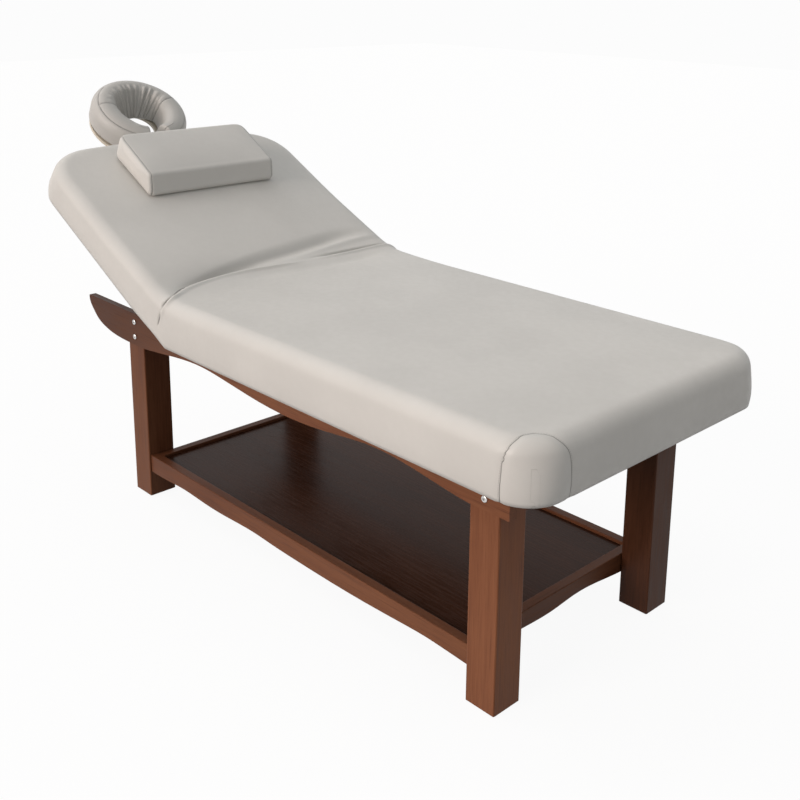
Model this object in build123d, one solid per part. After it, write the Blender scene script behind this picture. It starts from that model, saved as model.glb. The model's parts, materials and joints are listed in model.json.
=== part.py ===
from build123d import *
import math
import os

# A fixed wooden massage bed with a lifting back, a shelf, a face cradle and a loose pillow.
# Everything is drawn with x = 0 at the outer face of the head legs and x growing towards the
# foot, y = 0 on the centre line, z = 0 on the floor. The last lines move it so that the origin
# is at the bottom centre of the whole bed. The back and what it carries are drawn lying flat
# and are then raised about the hinge line.

# Clearances
running_fit = 0.05
seat_gap = 0.3
overrun = 5

# Frame and legs
frame_length = 1320
side_overhang = 93
leg_side = 75
leg_edge_round = 3
leg_top_gap = 3
rail_top = 510

# Glides under the legs
glide_radius = 20
glide_height = 3
glide_edge = 1
glide_pin_radius = 3
glide_pin_length = 16

# Side rails, let into the legs
rail_thickness = 20
rail_proud = 4
rail_depth = 86
rail_head_reach = 200
rail_foot_reach = 26
rail_edge_round = 1.5
# Lower edge of the swept head end: share of its reach past the leg, share of the rail's depth
prow_shares = [(0.0, 0.06), (0.02, 0.22), (0.085, 0.4), (0.215, 0.66), (0.4, 0.84), (0.6, 0.94), (0.8, 0.985), (1.0, 1.0)]
# Lower edge between the legs: share of the way, share of the rail's depth
rail_wave_shares = [(0.0, 1.0), (0.06, 0.92), (0.15, 0.78), (0.23, 0.72), (0.31, 0.79), (0.42, 0.94), (0.525, 1.0),
                    (0.63, 0.92), (0.71, 0.79), (0.78, 0.72), (0.86, 0.78), (0.94, 0.92), (1.0, 1.0)]

# Connector bolts through the rails into the legs
bolt_radius = 4
bolt_head_radius = 7
bolt_head_height = 4
bolt_socket_radius = 3
bolt_socket_depth = 2.5
bolt_length = 56
bolt_inset_head = 42
bolt_inset_foot = 34
bolt_drops = [22, 62]
nut_radius = 6
nut_flange_radius = 7.5
nut_flange_height = 2
nut_length = 34

# Cross rails
cross_rail_thickness = 24
cross_rail_depth = 60
cross_rail_drop = 42
cross_rail_inset = 2
middle_rail_depth = 50
hinge_rail_gap = 12
middle_rail_share = 0.62

# Dowels, all of one size
dowel_radius = 4
dowel_length = 40
dowel_spacing = 30
dowel_cover = 2
shelf_dowel_spacing = 14

# Shelf
shelf_rail_thickness = 24
shelf_rail_depth = 47
shelf_rail_setback = 5
shelf_top = 120
shelf_end_gap = 2
shelf_panel_thickness = 9
shelf_panel_recess = 8
shelf_groove_depth = 9
shelf_groove_gap = 0.2
shelf_edge_round = 2
shelf_bearer_width = 40
shelf_bearer_thickness = 20
# Shelf rail lower edge: share of its length, share of its depth
shelf_wave_shares = [(0.0, 1.0), (0.06, 0.98), (0.14, 0.9), (0.21, 0.97), (0.28, 0.99), (0.34, 0.93),
                     (0.4, 0.9), (0.46, 0.96), (0.53, 1.0), (0.72, 0.99), (0.83, 0.88), (0.9, 0.82),
                     (0.95, 0.86), (1.0, 0.92)]
shelf_end_wave_shares = [(0.0, 0.94), (0.25, 0.8), (0.45, 0.84), (0.6, 0.7), (0.7, 0.72), (0.82, 0.86), (1.0, 0.98)]

# Padded top
bed_width = 766
foot_overhang = 148
cover_thickness = 2
board_thickness = 15
board_inset = 12
seat_height = 121
seat_corner = 80
seat_edge_round = 36
pad_crown = 5
pad_draw_in = 5
back_height = 103
back_corner = 112
back_edge_round = 38

# Hinge line and the raised back
hinge_x = 322
hinge_drop = 32
back_length = 723
back_raised_angle = 26.8
back_full_angle = 60
joint_half_angle = back_full_angle / 2 + 1
bridge_gap = 0.6

# Cleats under the seat board
cleat_width = 28
cleat_height = 28
cleat_end_gap = 20

# Self-locking hinges
hinge_plate = 4
hinge_radius = 27
hinge_ring_inner = 17
hinge_hub_radius = 13
hinge_ring_width = 12
hinge_arm_height = 26
hinge_arm_reach = 112
hinge_side_gap = 0.4
hinge_pin_radius = 5
hinge_pin_head_radius = 9
hinge_pin_head = 3
roller_count = 6
roller_radius = 3.9
roller_pocket_radius = 4.6
roller_gap = 0.05

# Wood screws, of one size
screw_radius = 2
screw_head_radius = 4
screw_head_height = 2.2
screw_length = 16
screw_shares = [0.42, 0.65, 0.88]

# Battens under the back board
hinge_block_width = 30
hinge_block_start = 34
hinge_block_end = 232
batten_width = 36
batten_block_gap = 27.6
batten_height = 30
batten_start = 45
head_batten_width = 70
head_batten_setback = 25

# Face cradle: sockets, posts, bracket, plate and cushion
post_radius = 6
post_offset = 70
post_depth = 68
post_axis_drop = 16
socket_wall = 2
socket_flange = 4
socket_flange_height = 2
bracket_bar_thickness = 16
bracket_bar_height = 22
bracket_bar_gap = 16
ear_offset = 78
ear_thickness = 8
ear_radius = 12
ear_reach = 18
ear_rise = 10
axle_radius = 4
axle_head_radius = 8
lug_thickness = 8
lug_foot_reach = 24
lug_side_gap = 0.4
cradle_tilt_angle = 7.4
cradle_rise = 15
plate_thickness = 8
plate_inset = 10
plate_hole_inset = 1
ring_radius = 101
ring_half_width = 44
ring_height = 84
ring_gap_angle = 44
ring_centre_reach = 96
ring_end_angle = 11
# Rounding of the cushion's two ends: share of the end angle, share of the full section
ring_end_shares = [(0, 1.0), (0.45, 0.93), (0.75, 0.8), (0.93, 0.62), (1.0, 0.42)]
ring_top_round = 38
ring_inner_round = 22
ring_bottom_round = 12
ring_outer_draw = 5
ring_inner_draw = 26
ring_inner_flare = 6
pad_strip_thickness = 2
strip_margin = 14
lever_length = 62
lever_width = 14
lever_thickness = 7
lever_hub_radius = 11
lever_hub_width = 10

# Pillow
pillow_length = 402
pillow_depth = 204
pillow_height = 64
pillow_corner = 26
pillow_edge_round = 24
pillow_crown = 6
pillow_draw_in = 3
pillow_start = 448

# Cushions: shares of the draw-in and of the height up the side, then of the draw-in at the
# shoulder, of the width that the crown crosses, and of the crown's own reach
pad_side_shares = [(1.0, 0.0), (0.25, 0.14), (0.0, 0.32), (0.2, 0.52)]
pad_shoulder_share = 0.4
pad_crown_share = 0.36
pad_crown_step_shares = (0.25, 0.5, 0.75, 1.0)
pad_corner_share = 0.2
bolt_dome_share = 0.6
rail_dowel_share = 0.6

# Worked out from the sizes above
frame_width = bed_width - 2 * side_overhang
leg_top = rail_top - leg_top_gap
leg_y = frame_width / 2 - leg_side / 2
leg_xs = [leg_side / 2, frame_length - leg_side / 2]
rail_outer_y = frame_width / 2 + rail_proud
rail_inner_y = rail_outer_y - rail_thickness
hinge_arm_y = rail_inner_y - hinge_plate - hinge_side_gap - hinge_ring_width - hinge_plate
batten_offset = hinge_arm_y - hinge_block_width - batten_block_gap - batten_width
hinge_z = rail_top - hinge_drop
foot_x = frame_length + foot_overhang
back_underside = rail_top + seat_gap
post_z = back_underside - post_axis_drop
back_head_x = hinge_x - back_length
raise_axis = Axis((hinge_x, 0, hinge_z), (0, 1, 0))
socket_outer = post_radius + running_fit + socket_wall
pad_joint_x = hinge_x - bed_width / 2

parts = {}


def block(x0, x1, y0, y1, z0, z1):
    """A block between two corners."""
    middle = Pos((x0 + x1) / 2, (y0 + y1) / 2, (z0 + z1) / 2)
    return middle * Box(x1 - x0, y1 - y0, z1 - z0)


def rod(radius, start, direction, length):
    """A round bar from a point along a direction."""
    place = Plane(origin=start, z_dir=direction)
    return place * Cylinder(radius, length, align=(Align.CENTER, Align.CENTER, Align.MIN))


def far_side(shape):
    """The same piece on the other side of the centre line."""
    return mirror(shape, about=Plane.XZ)


def both_sides(shapes):
    """A list of solids and their far side copies."""
    return shapes + [far_side(shape) for shape in shapes]


def group(shapes):
    """Separate solids kept together under one name."""
    return Compound(children=[solid for shape in shapes for solid in shape.solids()])


def drilled(piece, cutters):
    """A piece with the room of its fasteners cut out."""
    for cutter in cutters:
        piece = piece - cutter
    return piece


def pad_profile(width, height, edge_round, crown, draw_in):
    """Insets and levels of a cushion's slices: drawn in below, full at the side, crowned on top."""
    slices = [(draw_in * side, height * level) for side, level in pad_side_shares]
    shoulder = height - crown - edge_round
    for angle in range(0, 91, 15):
        turn = math.radians(angle)
        inset = draw_in * pad_shoulder_share + edge_round * (1 - math.cos(turn))
        slices.append((inset, shoulder + edge_round * math.sin(turn)))
    side = slices[-1][0]
    for share in pad_crown_step_shares:
        rise = crown * (1 - (1 - share) ** 2)
        slices.append((side + (width * pad_crown_share - side) * share, height - crown + rise))
    return slices


def pad_block(length, width, height, corner, edge_round, crown, draw_in):
    """A closed cushion lying on z = 0, centred in plan."""
    faces = []
    for inset, level in pad_profile(width, height, edge_round, crown, draw_in):
        radius = max(corner - inset, corner * pad_corner_share)
        outline = RectangleRounded(length - 2 * inset, width - 2 * inset, radius)
        faces.append(Pos(0, 0, level) * outline)
    return loft(faces, ruled=True)


def joint_cut(lean):
    """The space on the foot side of the slanted joint face, or on the head side if lean is negative."""
    reach = back_length + bed_width
    side = 1 if lean > 0 else -1
    body = block(0, reach, -bed_width, bed_width, -reach, reach)
    if side < 0:
        body = block(-reach, 0, -bed_width, bed_width, -reach, reach)
    return Pos(hinge_x, 0, hinge_z) * Rot(0, lean, 0) * body


def raised(shape):
    """A piece of the back, turned up about the hinge line."""
    return shape.rotate(raise_axis, back_raised_angle)


def make_leg(x):
    """One leg on the near side, with its rail rebate and bolt holes."""
    leg = block(x - leg_side / 2, x + leg_side / 2, -leg_y - leg_side / 2, -leg_y + leg_side / 2, glide_height, leg_top)
    upright = leg.edges().filter_by(Axis.Z)
    leg = fillet(upright, leg_edge_round)
    rebate = block(x - leg_side, x + leg_side, -rail_outer_y, -rail_inner_y, rail_top - rail_depth, rail_top)
    return leg - rebate


def make_glide(x):
    """A plastic glide with its pin, under one near leg."""
    disc = rod(glide_radius, (x, -leg_y, 0), (0, 0, 1), glide_height)
    disc = chamfer(disc.edges().sort_by(Axis.Z)[0], glide_edge)
    return disc + rod(glide_pin_radius, (x, -leg_y, glide_height), (0, 0, 1), glide_pin_length)


def make_bolt(x, drop):
    """A connector bolt with a domed head and a hexagon socket, through the near rail."""
    z = rail_top - drop
    head = rod(bolt_head_radius, (x, -rail_outer_y - bolt_head_height, z), (0, 1, 0), bolt_head_height)
    head = fillet(head.edges().sort_by(Axis.Y)[0], bolt_head_height * bolt_dome_share)
    socket_place = Plane(origin=(x, -rail_outer_y - bolt_head_height, z), z_dir=(0, 1, 0))
    socket = extrude(socket_place * RegularPolygon(bolt_socket_radius, 6), amount=bolt_socket_depth)
    return head - socket + rod(bolt_radius, (x, -rail_outer_y, z), (0, 1, 0), bolt_length)


def make_nut(x, drop):
    """A sleeve nut pressed in from the inner face of the near leg."""
    z = rail_top - drop
    inner_y = -leg_y + leg_side / 2
    sleeve = rod(nut_radius, (x, inner_y, z), (0, -1, 0), nut_length)
    flange = rod(nut_flange_radius, (x, inner_y, z), (0, 1, 0), nut_flange_height)
    bore = rod(bolt_radius + running_fit, (x, inner_y, z), (0, -1, 0), nut_length)
    return sleeve + flange - bore


def make_side_rail():
    """The near side rail with its swept head end, flat seats at the legs and two arches between."""
    low_z = rail_top - rail_depth
    span = frame_length - 2 * leg_side
    prow = [(rail_head_reach * (s - 1), rail_top - d * rail_depth) for s, d in prow_shares]
    wave = [(leg_side + s * span, rail_top - d * rail_depth) for s, d in rail_wave_shares]
    head_seat = [prow[-1], wave[0]]
    foot_seat = [wave[-1], (frame_length + rail_foot_reach, low_z)]
    face = outline_face([prow, head_seat, wave, foot_seat], rail_top)
    rail = Pos(0, -rail_outer_y, 0) * extrude(face, amount=rail_thickness, dir=(0, 1, 0))
    return soft_top(rail, Axis.X, rail_edge_round)


def outline_face(runs, top):
    """A face in the XZ plane under a straight top: two points make a line, more make a curve."""
    edges = []
    for run in runs:
        points = [Vector(x, 0, z) for x, z in run]
        if len(points) == 2:
            edges.append(Edge.make_line(points[0], points[1]))
        else:
            edges.append(Edge.make_spline(points))
    start = Vector(runs[0][0][0], 0, runs[0][0][1])
    end = Vector(runs[-1][-1][0], 0, runs[-1][-1][1])
    corners = [end, Vector(end.X, 0, top), Vector(start.X, 0, top), start]
    edges += [Edge.make_line(p, q) for p, q in zip(corners, corners[1:])]
    return Face(Wire(edges))


def soft_top(rail, axis, radius):
    """Round the two long upper edges of a rail that runs along an axis."""
    top = rail.faces().sort_by(Axis.Z)[-1]
    return fillet(top.edges().filter_by(axis), radius)


def build_frame():
    bolt_places = [(bolt_inset_head, d) for d in bolt_drops]
    bolt_places += [(frame_length - bolt_inset_foot, d) for d in bolt_drops]
    bolts = [make_bolt(x, d) for x, d in bolt_places]
    nuts = [make_nut(x, d) for x, d in bolt_places]
    glides = [make_glide(x) for x in leg_xs]
    names = ["head", "foot"]
    bolt_xs = [bolt_inset_head, frame_length - bolt_inset_foot]
    for name, x, bolt_x in zip(names, leg_xs, bolt_xs):
        leg = make_leg(x)
        for drop in bolt_drops:
            z = rail_top - drop
            hole = rod(bolt_radius + running_fit, (bolt_x, -rail_outer_y, z), (0, 1, 0), leg_side + rail_proud)
            bore = rod(nut_radius, (bolt_x, -leg_y + leg_side / 2, z), (0, -1, 0), nut_length)
            leg = leg - hole - bore
        leg = leg - rod(glide_pin_radius, (x, -leg_y, 0), (0, 0, 1), glide_height + glide_pin_length)
        for end in shelf_dowel_rods():
            leg = leg - end
        for end in cross_dowel_rods():
            leg = leg - end
        parts["leg_" + name + "_near"] = leg
        parts["leg_" + name + "_far"] = far_side(leg)
    rail = make_side_rail()
    for x, drop in bolt_places:
        rail = rail - rod(bolt_radius + running_fit, (x, -rail_outer_y, rail_top - drop), (0, 1, 0), rail_thickness)
    rail = drilled(rail, frame_screws())
    rail = drilled(rail, cross_dowel_rods())
    parts["side_rail_near"] = rail
    parts["side_rail_far"] = far_side(rail)
    parts["leg_glides"] = group(both_sides(glides))
    parts["rail_bolts"] = group(both_sides(bolts))
    parts["rail_sleeve_nuts"] = group(both_sides(nuts))


def cross_rails():
    """Name, x of the head side face, half length in y, bottom and top of each cross rail."""
    leg_inner_y = leg_y - leg_side / 2
    end_top = rail_top - cross_rail_drop
    head_x = cross_rail_inset
    foot_x0 = frame_length - cross_rail_inset - cross_rail_thickness
    hinge_rail_x = hinge_x + hinge_arm_reach + hinge_rail_gap
    middle_x = frame_length * middle_rail_share
    return [
        ("cross_rail_head", head_x, leg_inner_y, end_top - cross_rail_depth, end_top),
        ("cross_rail_hinge", hinge_rail_x, rail_inner_y, rail_top - middle_rail_depth, rail_top),
        ("cross_rail_middle", middle_x, rail_inner_y, rail_top - middle_rail_depth, rail_top),
        ("cross_rail_foot", foot_x0, leg_inner_y, end_top - cross_rail_depth, end_top),
    ]


def cross_dowel_rods():
    """Dowels at the near ends of the cross rails, half in the rail or leg."""
    rods = []
    for name, x, half, low, high in cross_rails():
        reach = dowel_length / 2
        if half == rail_inner_y:
            reach = rail_thickness * rail_dowel_share
        middle_z = (low + high) / 2
        for offset in (-dowel_spacing / 2, dowel_spacing / 2):
            start = (x + cross_rail_thickness / 2, -half - reach, middle_z + offset)
            rods.append(rod(dowel_radius, start, (0, 1, 0), dowel_length))
    return rods


def build_cross_rails():
    dowels = both_sides(cross_dowel_rods())
    for name, x, half, low, high in cross_rails():
        rail = block(x, x + cross_rail_thickness, -half, half, low, high)
        rail = drilled(rail, dowels)
        parts[name] = rail
    return dowels


def shelf_dowel_rods():
    """Dowels from the near shelf rail's ends into the near legs."""
    rods = []
    y = -frame_width / 2 + shelf_rail_setback + shelf_rail_thickness / 2
    top_z = shelf_dowel_z()
    for face_x in (leg_side, frame_length - leg_side):
        for z in (top_z, top_z - shelf_dowel_spacing):
            start = (face_x - dowel_length / 2, y, z)
            rods.append(rod(dowel_radius, start, (1, 0, 0), dowel_length))
    return rods


def shelf_dowel_z():
    """Height of the upper shelf dowels, under the groove of the panel."""
    panel_low = shelf_top - shelf_panel_recess - shelf_panel_thickness
    return panel_low - dowel_cover - dowel_radius


def shelf_end_dowel_rods():
    """Dowels from the near ends of the shelf's end rails into the near shelf rail."""
    rods = []
    y = -frame_width / 2 + shelf_rail_setback + shelf_rail_thickness
    reach = shelf_rail_thickness / 2 - dowel_radius - dowel_cover
    for x in shelf_end_xs():
        start = (x + shelf_rail_thickness / 2, y - reach, shelf_dowel_z())
        rods.append(rod(dowel_radius, start, (0, 1, 0), dowel_length))
    return rods


def shelf_end_xs():
    """Head side faces of the shelf's two end rails."""
    head = leg_side + shelf_end_gap
    foot = frame_length - leg_side - shelf_end_gap - shelf_rail_thickness
    return [head, foot]


def panel_block(gap):
    """The shelf panel, or the groove cut for it when gap is not zero."""
    side_y = frame_width / 2 - shelf_rail_setback - shelf_rail_thickness + shelf_groove_depth
    x0 = shelf_end_xs()[0] + shelf_rail_thickness - shelf_groove_depth
    x1 = shelf_end_xs()[1] + shelf_groove_depth
    top = shelf_top - shelf_panel_recess
    low = top - shelf_panel_thickness
    return block(x0 - gap, x1 + gap, -side_y - gap, side_y + gap, low, top + gap)


def build_shelf():
    span = frame_length - 2 * leg_side
    outer_y = frame_width / 2 - shelf_rail_setback
    inner_y = outer_y - shelf_rail_thickness
    low = [(leg_side + s * span, shelf_top - d * shelf_rail_depth) for s, d in shelf_wave_shares]
    face = outline_face([low], shelf_top)
    rail = Pos(0, -outer_y, 0) * extrude(face, amount=shelf_rail_thickness, dir=(0, 1, 0))
    rail = soft_top(rail, Axis.X, shelf_edge_round)
    groove = panel_block(shelf_groove_gap)
    pegs = both_sides(shelf_dowel_rods()) + both_sides(shelf_end_dowel_rods())
    rail = drilled(rail - groove, pegs)
    parts["shelf_rail_near"] = rail
    parts["shelf_rail_far"] = far_side(rail)
    for name, x in zip(("head", "foot"), shelf_end_xs()):
        points = [(-inner_y + s * 2 * inner_y, shelf_top - d * shelf_rail_depth) for s, d in shelf_end_wave_shares]
        end_face = outline_face([points], shelf_top)
        end_rail = extrude(end_face, amount=shelf_rail_thickness, dir=(0, 1, 0))
        end_rail = Pos(x + shelf_rail_thickness, 0, 0) * Rot(0, 0, 90) * end_rail
        end_rail = soft_top(end_rail, Axis.Y, shelf_edge_round)
        parts["shelf_end_" + name] = drilled(end_rail - groove, pegs)
    parts["shelf_panel"] = panel_block(0)
    bearer_top = shelf_top - shelf_panel_recess - shelf_panel_thickness
    middle = frame_length / 2
    half = shelf_bearer_width / 2
    bearer = block(middle - half, middle + half, -inner_y, inner_y, bearer_top - shelf_bearer_thickness, bearer_top)
    parts["shelf_bearer"] = bearer
    return pegs


def build_seat():
    """Board, foam and cover of the fixed part of the padded top, with the cleats under it."""
    length = foot_x - pad_joint_x
    centre = Pos((foot_x + pad_joint_x) / 2, 0, rail_top)
    outer = centre * pad_block(length, bed_width, seat_height, seat_corner, seat_edge_round, pad_crown, pad_draw_in)
    t = cover_thickness
    inner = centre * pad_block(length - 2 * t, bed_width - 2 * t, seat_height - t, seat_corner - t,
                               seat_edge_round - t, pad_crown, pad_draw_in)
    side = 2 * board_inset
    outline = RectangleRounded(length - side, bed_width - side, seat_corner - board_inset)
    board = centre * extrude(outline, amount=board_thickness)
    cut = joint_cut(joint_half_angle)
    parts["seat_cover"] = (outer - inner) & cut
    parts["seat_foam"] = (inner - board) & cut
    parts["seat_board"] = board & cut
    cleat_start = cross_rails()[1][1] + cross_rail_thickness + cleat_end_gap
    cleat_end = frame_length - leg_side - cleat_end_gap
    middle_x = frame_length * middle_rail_share
    runs = [(cleat_start, middle_x - cleat_end_gap), (middle_x + cross_rail_thickness + cleat_end_gap, cleat_end)]
    cleats = [block(a, b, -rail_inner_y, -rail_inner_y + cleat_width, rail_top - cleat_height, rail_top) for a, b in runs]
    parts["seat_cleats"] = group(both_sides(cleats))
    return outer


def build_back():
    """Board, foam, cover and battens of the lifting back, drawn flat and then raised."""
    length = hinge_x + bed_width / 2 - back_head_x
    centre = Pos((hinge_x + bed_width / 2 + back_head_x) / 2, 0, back_underside)
    outer = centre * pad_block(length, bed_width, back_height, back_corner, back_edge_round, pad_crown, pad_draw_in)
    t = cover_thickness
    inner = centre * pad_block(length - 2 * t, bed_width - 2 * t, back_height - t, back_corner - t,
                               back_edge_round - t, pad_crown, pad_draw_in)
    side = 2 * board_inset
    outline = RectangleRounded(length - side, bed_width - side, back_corner - board_inset)
    board = centre * extrude(outline, amount=board_thickness)
    cut = joint_cut(-joint_half_angle)
    parts["back_cover"] = raised((outer - inner) & cut)
    parts["back_foam"] = raised((inner - board) & cut)
    parts["back_board"] = raised(board & cut)
    low = back_underside - batten_height
    head_end = back_head_x + head_batten_setback
    head_batten = block(head_end, head_end + head_batten_width, -batten_offset, batten_offset, low, back_underside)
    for y in (-post_offset, post_offset):
        start = (head_end - overrun, y, post_z)
        head_batten = head_batten - rod(socket_outer, start, (1, 0, 0), head_batten_width + 2 * overrun)
    parts["head_batten"] = raised(head_batten)
    long_batten = block(head_end, hinge_x - batten_start, -batten_offset - batten_width, -batten_offset,
                        low, back_underside)
    parts["back_battens"] = raised(group(both_sides([long_batten])))
    outer_y = hinge_arm_y
    hinge_block = block(hinge_x - hinge_block_end, hinge_x - hinge_block_start, -outer_y,
                        -outer_y + hinge_block_width, low, back_underside)
    hinge_block = drilled(hinge_block, back_screws())
    parts["hinge_blocks"] = raised(group(both_sides([hinge_block])))
    return outer


def build_bridge(seat_block, back_block):
    """The foam that closes the joint between the seat and the back at rest."""
    gap = Pos(-bridge_gap, 0, 0)
    head_gap = Pos(bridge_gap, 0, 0)
    seat_face = gap * joint_cut(joint_half_angle)
    middle = joint_cut(back_raised_angle / 2)
    seat_half = (seat_block - seat_face) & middle
    back_up = raised(back_block)
    back_face = raised(head_gap * joint_cut(-joint_half_angle))
    back_half = (back_up - back_face) - middle
    low = block(hinge_x - bed_width, hinge_x + bed_width, -bed_width, bed_width, rail_top + board_thickness,
                rail_top + back_length)
    parts["joint_foam"] = (seat_half & low) + (back_half & low)


def hinge_rod(radius, y0, y1):
    """A round bar on the hinge line of the near side, between two distances from the centre."""
    return rod(radius, (hinge_x, -y0, hinge_z), (0, 1, 0), y0 - y1)


def hinge_arm(direction, y0, y1):
    """A flat steel arm with a round head on the hinge line."""
    half = hinge_arm_height / 2
    end = hinge_x + direction * hinge_arm_reach
    x0, x1 = sorted((hinge_x, end))
    arm = block(x0, x1, -y0, -y1, hinge_z - half, hinge_z + half)
    return arm + hinge_rod(hinge_radius, y0, y1)


def roller_places():
    """Centres of the rollers round the hinge line."""
    reach = hinge_hub_radius + roller_gap + roller_radius
    places = []
    for i in range(roller_count):
        turn = 2 * math.pi * i / roller_count
        places.append((hinge_x + reach * math.cos(turn), hinge_z + reach * math.sin(turn), turn))
    return places


def arm_screws(direction, y, inward):
    """Screws along a near side hinge arm, with heads at y and points inward along +y or -y."""
    shapes = []
    for share in screw_shares:
        x = hinge_x + direction * hinge_arm_reach * share
        head = rod(screw_head_radius, (x, y - inward * screw_head_height, hinge_z), (0, inward, 0), screw_head_height)
        shapes.append(head + rod(screw_radius, (x, y, hinge_z), (0, inward, 0), screw_length))
    return shapes


def frame_screws():
    """Screws that hold the fixed arm to the near rail: heads inside, points outwards."""
    return arm_screws(1, -rail_inner_y + hinge_plate, -1)


def back_screws():
    """Screws that hold the moving arm to the near hinge block: heads outside, points inwards."""
    return arm_screws(-1, -hinge_arm_y - hinge_plate, 1)


def build_hinges():
    """Roller hinges that lock by themselves: a fixed hub, a moving ring and rollers between them."""
    fixed_y = rail_inner_y
    ring_y = fixed_y - hinge_plate - hinge_side_gap
    plate_y = ring_y - hinge_ring_width
    inner_y = plate_y - hinge_plate
    pin_bore = hinge_rod(hinge_pin_radius + running_fit, fixed_y, inner_y)
    fixed_arm = hinge_arm(1, fixed_y, fixed_y - hinge_plate)
    fixed_arm = drilled(fixed_arm - pin_bore, frame_screws())
    hub = hinge_rod(hinge_hub_radius, fixed_y - hinge_plate, plate_y + hinge_side_gap) - pin_bore
    ring = hinge_rod(hinge_radius, ring_y, plate_y)
    ring = ring - hinge_rod(hinge_ring_inner, ring_y, plate_y)
    rollers = []
    for x, z, turn in roller_places():
        shift = roller_pocket_radius - roller_radius - roller_gap
        pocket_x = x - shift * math.sin(turn)
        pocket_z = z + shift * math.cos(turn)
        ring = ring - rod(roller_pocket_radius, (pocket_x, -ring_y, pocket_z), (0, 1, 0), hinge_ring_width)
        start = (x, -ring_y + hinge_side_gap / 2, z)
        rollers.append(rod(roller_radius, start, (0, 1, 0), hinge_ring_width - hinge_side_gap))
    moving_arm = drilled(hinge_arm(-1, plate_y, inner_y) - pin_bore, back_screws())
    pin = hinge_rod(hinge_pin_radius, fixed_y, inner_y)
    pin = pin + hinge_rod(hinge_pin_head_radius, inner_y - hinge_side_gap, inner_y - hinge_side_gap - hinge_pin_head)
    pin = pin + hinge_rod(hinge_pin_radius, inner_y, inner_y - hinge_side_gap)
    parts["hinge_fixed_arms"] = group(both_sides([fixed_arm]))
    parts["hinge_hubs"] = group(both_sides([hub]))
    parts["hinge_pins"] = group(both_sides([pin]))
    parts["hinge_rings"] = raised(group(both_sides([ring])))
    parts["hinge_rollers"] = raised(group(both_sides(rollers)))
    parts["hinge_moving_arms"] = raised(group(both_sides([moving_arm])))
    parts["hinge_screws_frame"] = group(both_sides(frame_screws()))
    parts["hinge_screws_back"] = raised(group(both_sides(back_screws())))


def bracket_face_x():
    """Bed side face of the cradle bracket's cross bar."""
    return back_head_x - bracket_bar_gap


def tilt_axis():
    """Centre of the cradle's tilt axle, with the back flat."""
    x = bracket_face_x() - bracket_bar_thickness - ear_reach
    return x, post_z + ear_rise


def tilted(shape):
    """A piece of the cradle, turned up about its tilt axle."""
    x, z = tilt_axis()
    return shape.rotate(Axis((x, 0, z), (0, 1, 0)), cradle_tilt_angle)


def build_cradle_mount():
    """Sockets in the head batten, posts, and the bracket with its two ears."""
    head_end = back_head_x + head_batten_setback
    sockets = []
    posts = []
    bar_x = bracket_face_x()
    for y in (-post_offset, post_offset):
        tube = rod(socket_outer, (head_end, y, post_z), (1, 0, 0), head_batten_width)
        flange_x = head_end - socket_flange_height
        tube = tube + rod(socket_outer + socket_flange, (flange_x, y, post_z), (1, 0, 0), socket_flange_height)
        bore_length = head_batten_width + socket_flange_height
        sockets.append(tube - rod(post_radius + running_fit, (flange_x, y, post_z), (1, 0, 0), bore_length))
        post_start = bar_x - bracket_bar_thickness
        posts.append(rod(post_radius, (post_start, y, post_z), (1, 0, 0), head_end + post_depth - post_start))
    parts["cradle_sockets"] = raised(group(sockets))
    parts["cradle_posts"] = raised(group(posts))
    half_y = ear_offset + ear_thickness
    half_z = bracket_bar_height / 2
    axle_x, axle_z = tilt_axis()
    bar = block(bar_x - bracket_bar_thickness, bar_x, -half_y, half_y, post_z - half_z, post_z + half_z)
    for side in (-1, 1):
        y0, y1 = sorted((side * ear_offset, side * half_y))
        ear = block(axle_x, bar_x - bracket_bar_thickness, y0, y1, axle_z - ear_radius, post_z + half_z)
        ear = ear + rod(ear_radius, (axle_x, y0, axle_z), (0, 1, 0), ear_thickness)
        bar = bar + ear
    for post in posts:
        bar = bar - post
    bar = bar - rod(axle_radius + running_fit, (axle_x, -half_y, axle_z), (0, 1, 0), 2 * half_y)
    parts["cradle_bracket"] = raised(bar)


def horseshoe(section_face):
    """A section, drawn about the ring's centre line, turned round the vertical axis, open towards +x."""
    start = Rot(0, 0, ring_gap_angle / 2) * Pos(ring_radius, 0, 0) * section_face
    return revolve(start, Axis.Z, 360 - ring_gap_angle)


def rounded_section(points, rounds):
    """A polygon in the XZ plane with its corners rounded."""
    corners = [Vector(x, 0, z) for x, z in points]
    face = Face(Wire.make_polygon(corners, close=True))
    for (x, z), radius in zip(points, rounds):
        vertex = face.vertices().sort_by_distance((x, 0, z))[0]
        face = face.fillet_2d(radius, [vertex])
    return face


def cushion_section(skin):
    """Section of the cradle's cushion inside a skin: flat foot, full outer side, sloping inner wall."""
    outer = ring_half_width - skin
    inner = skin - ring_half_width
    top = ring_height - skin
    points = [(outer - ring_outer_draw, 0), (outer, top), (inner + ring_inner_draw, top),
              (inner - ring_inner_flare, 0)]
    rounds = [ring_bottom_round, ring_top_round - skin, ring_inner_round - skin, ring_bottom_round]
    return rounded_section(points, rounds)


def plate_face(margin, low, high):
    """Section of a flat ring under the cushion, in the XZ plane, between two levels."""
    inner = margin - ring_half_width + plate_hole_inset
    outer = ring_half_width - plate_inset - margin
    corners = [Vector(inner, 0, low), Vector(outer, 0, low), Vector(outer, 0, high), Vector(inner, 0, high)]
    return Face(Wire.make_polygon(corners, close=True))


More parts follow.
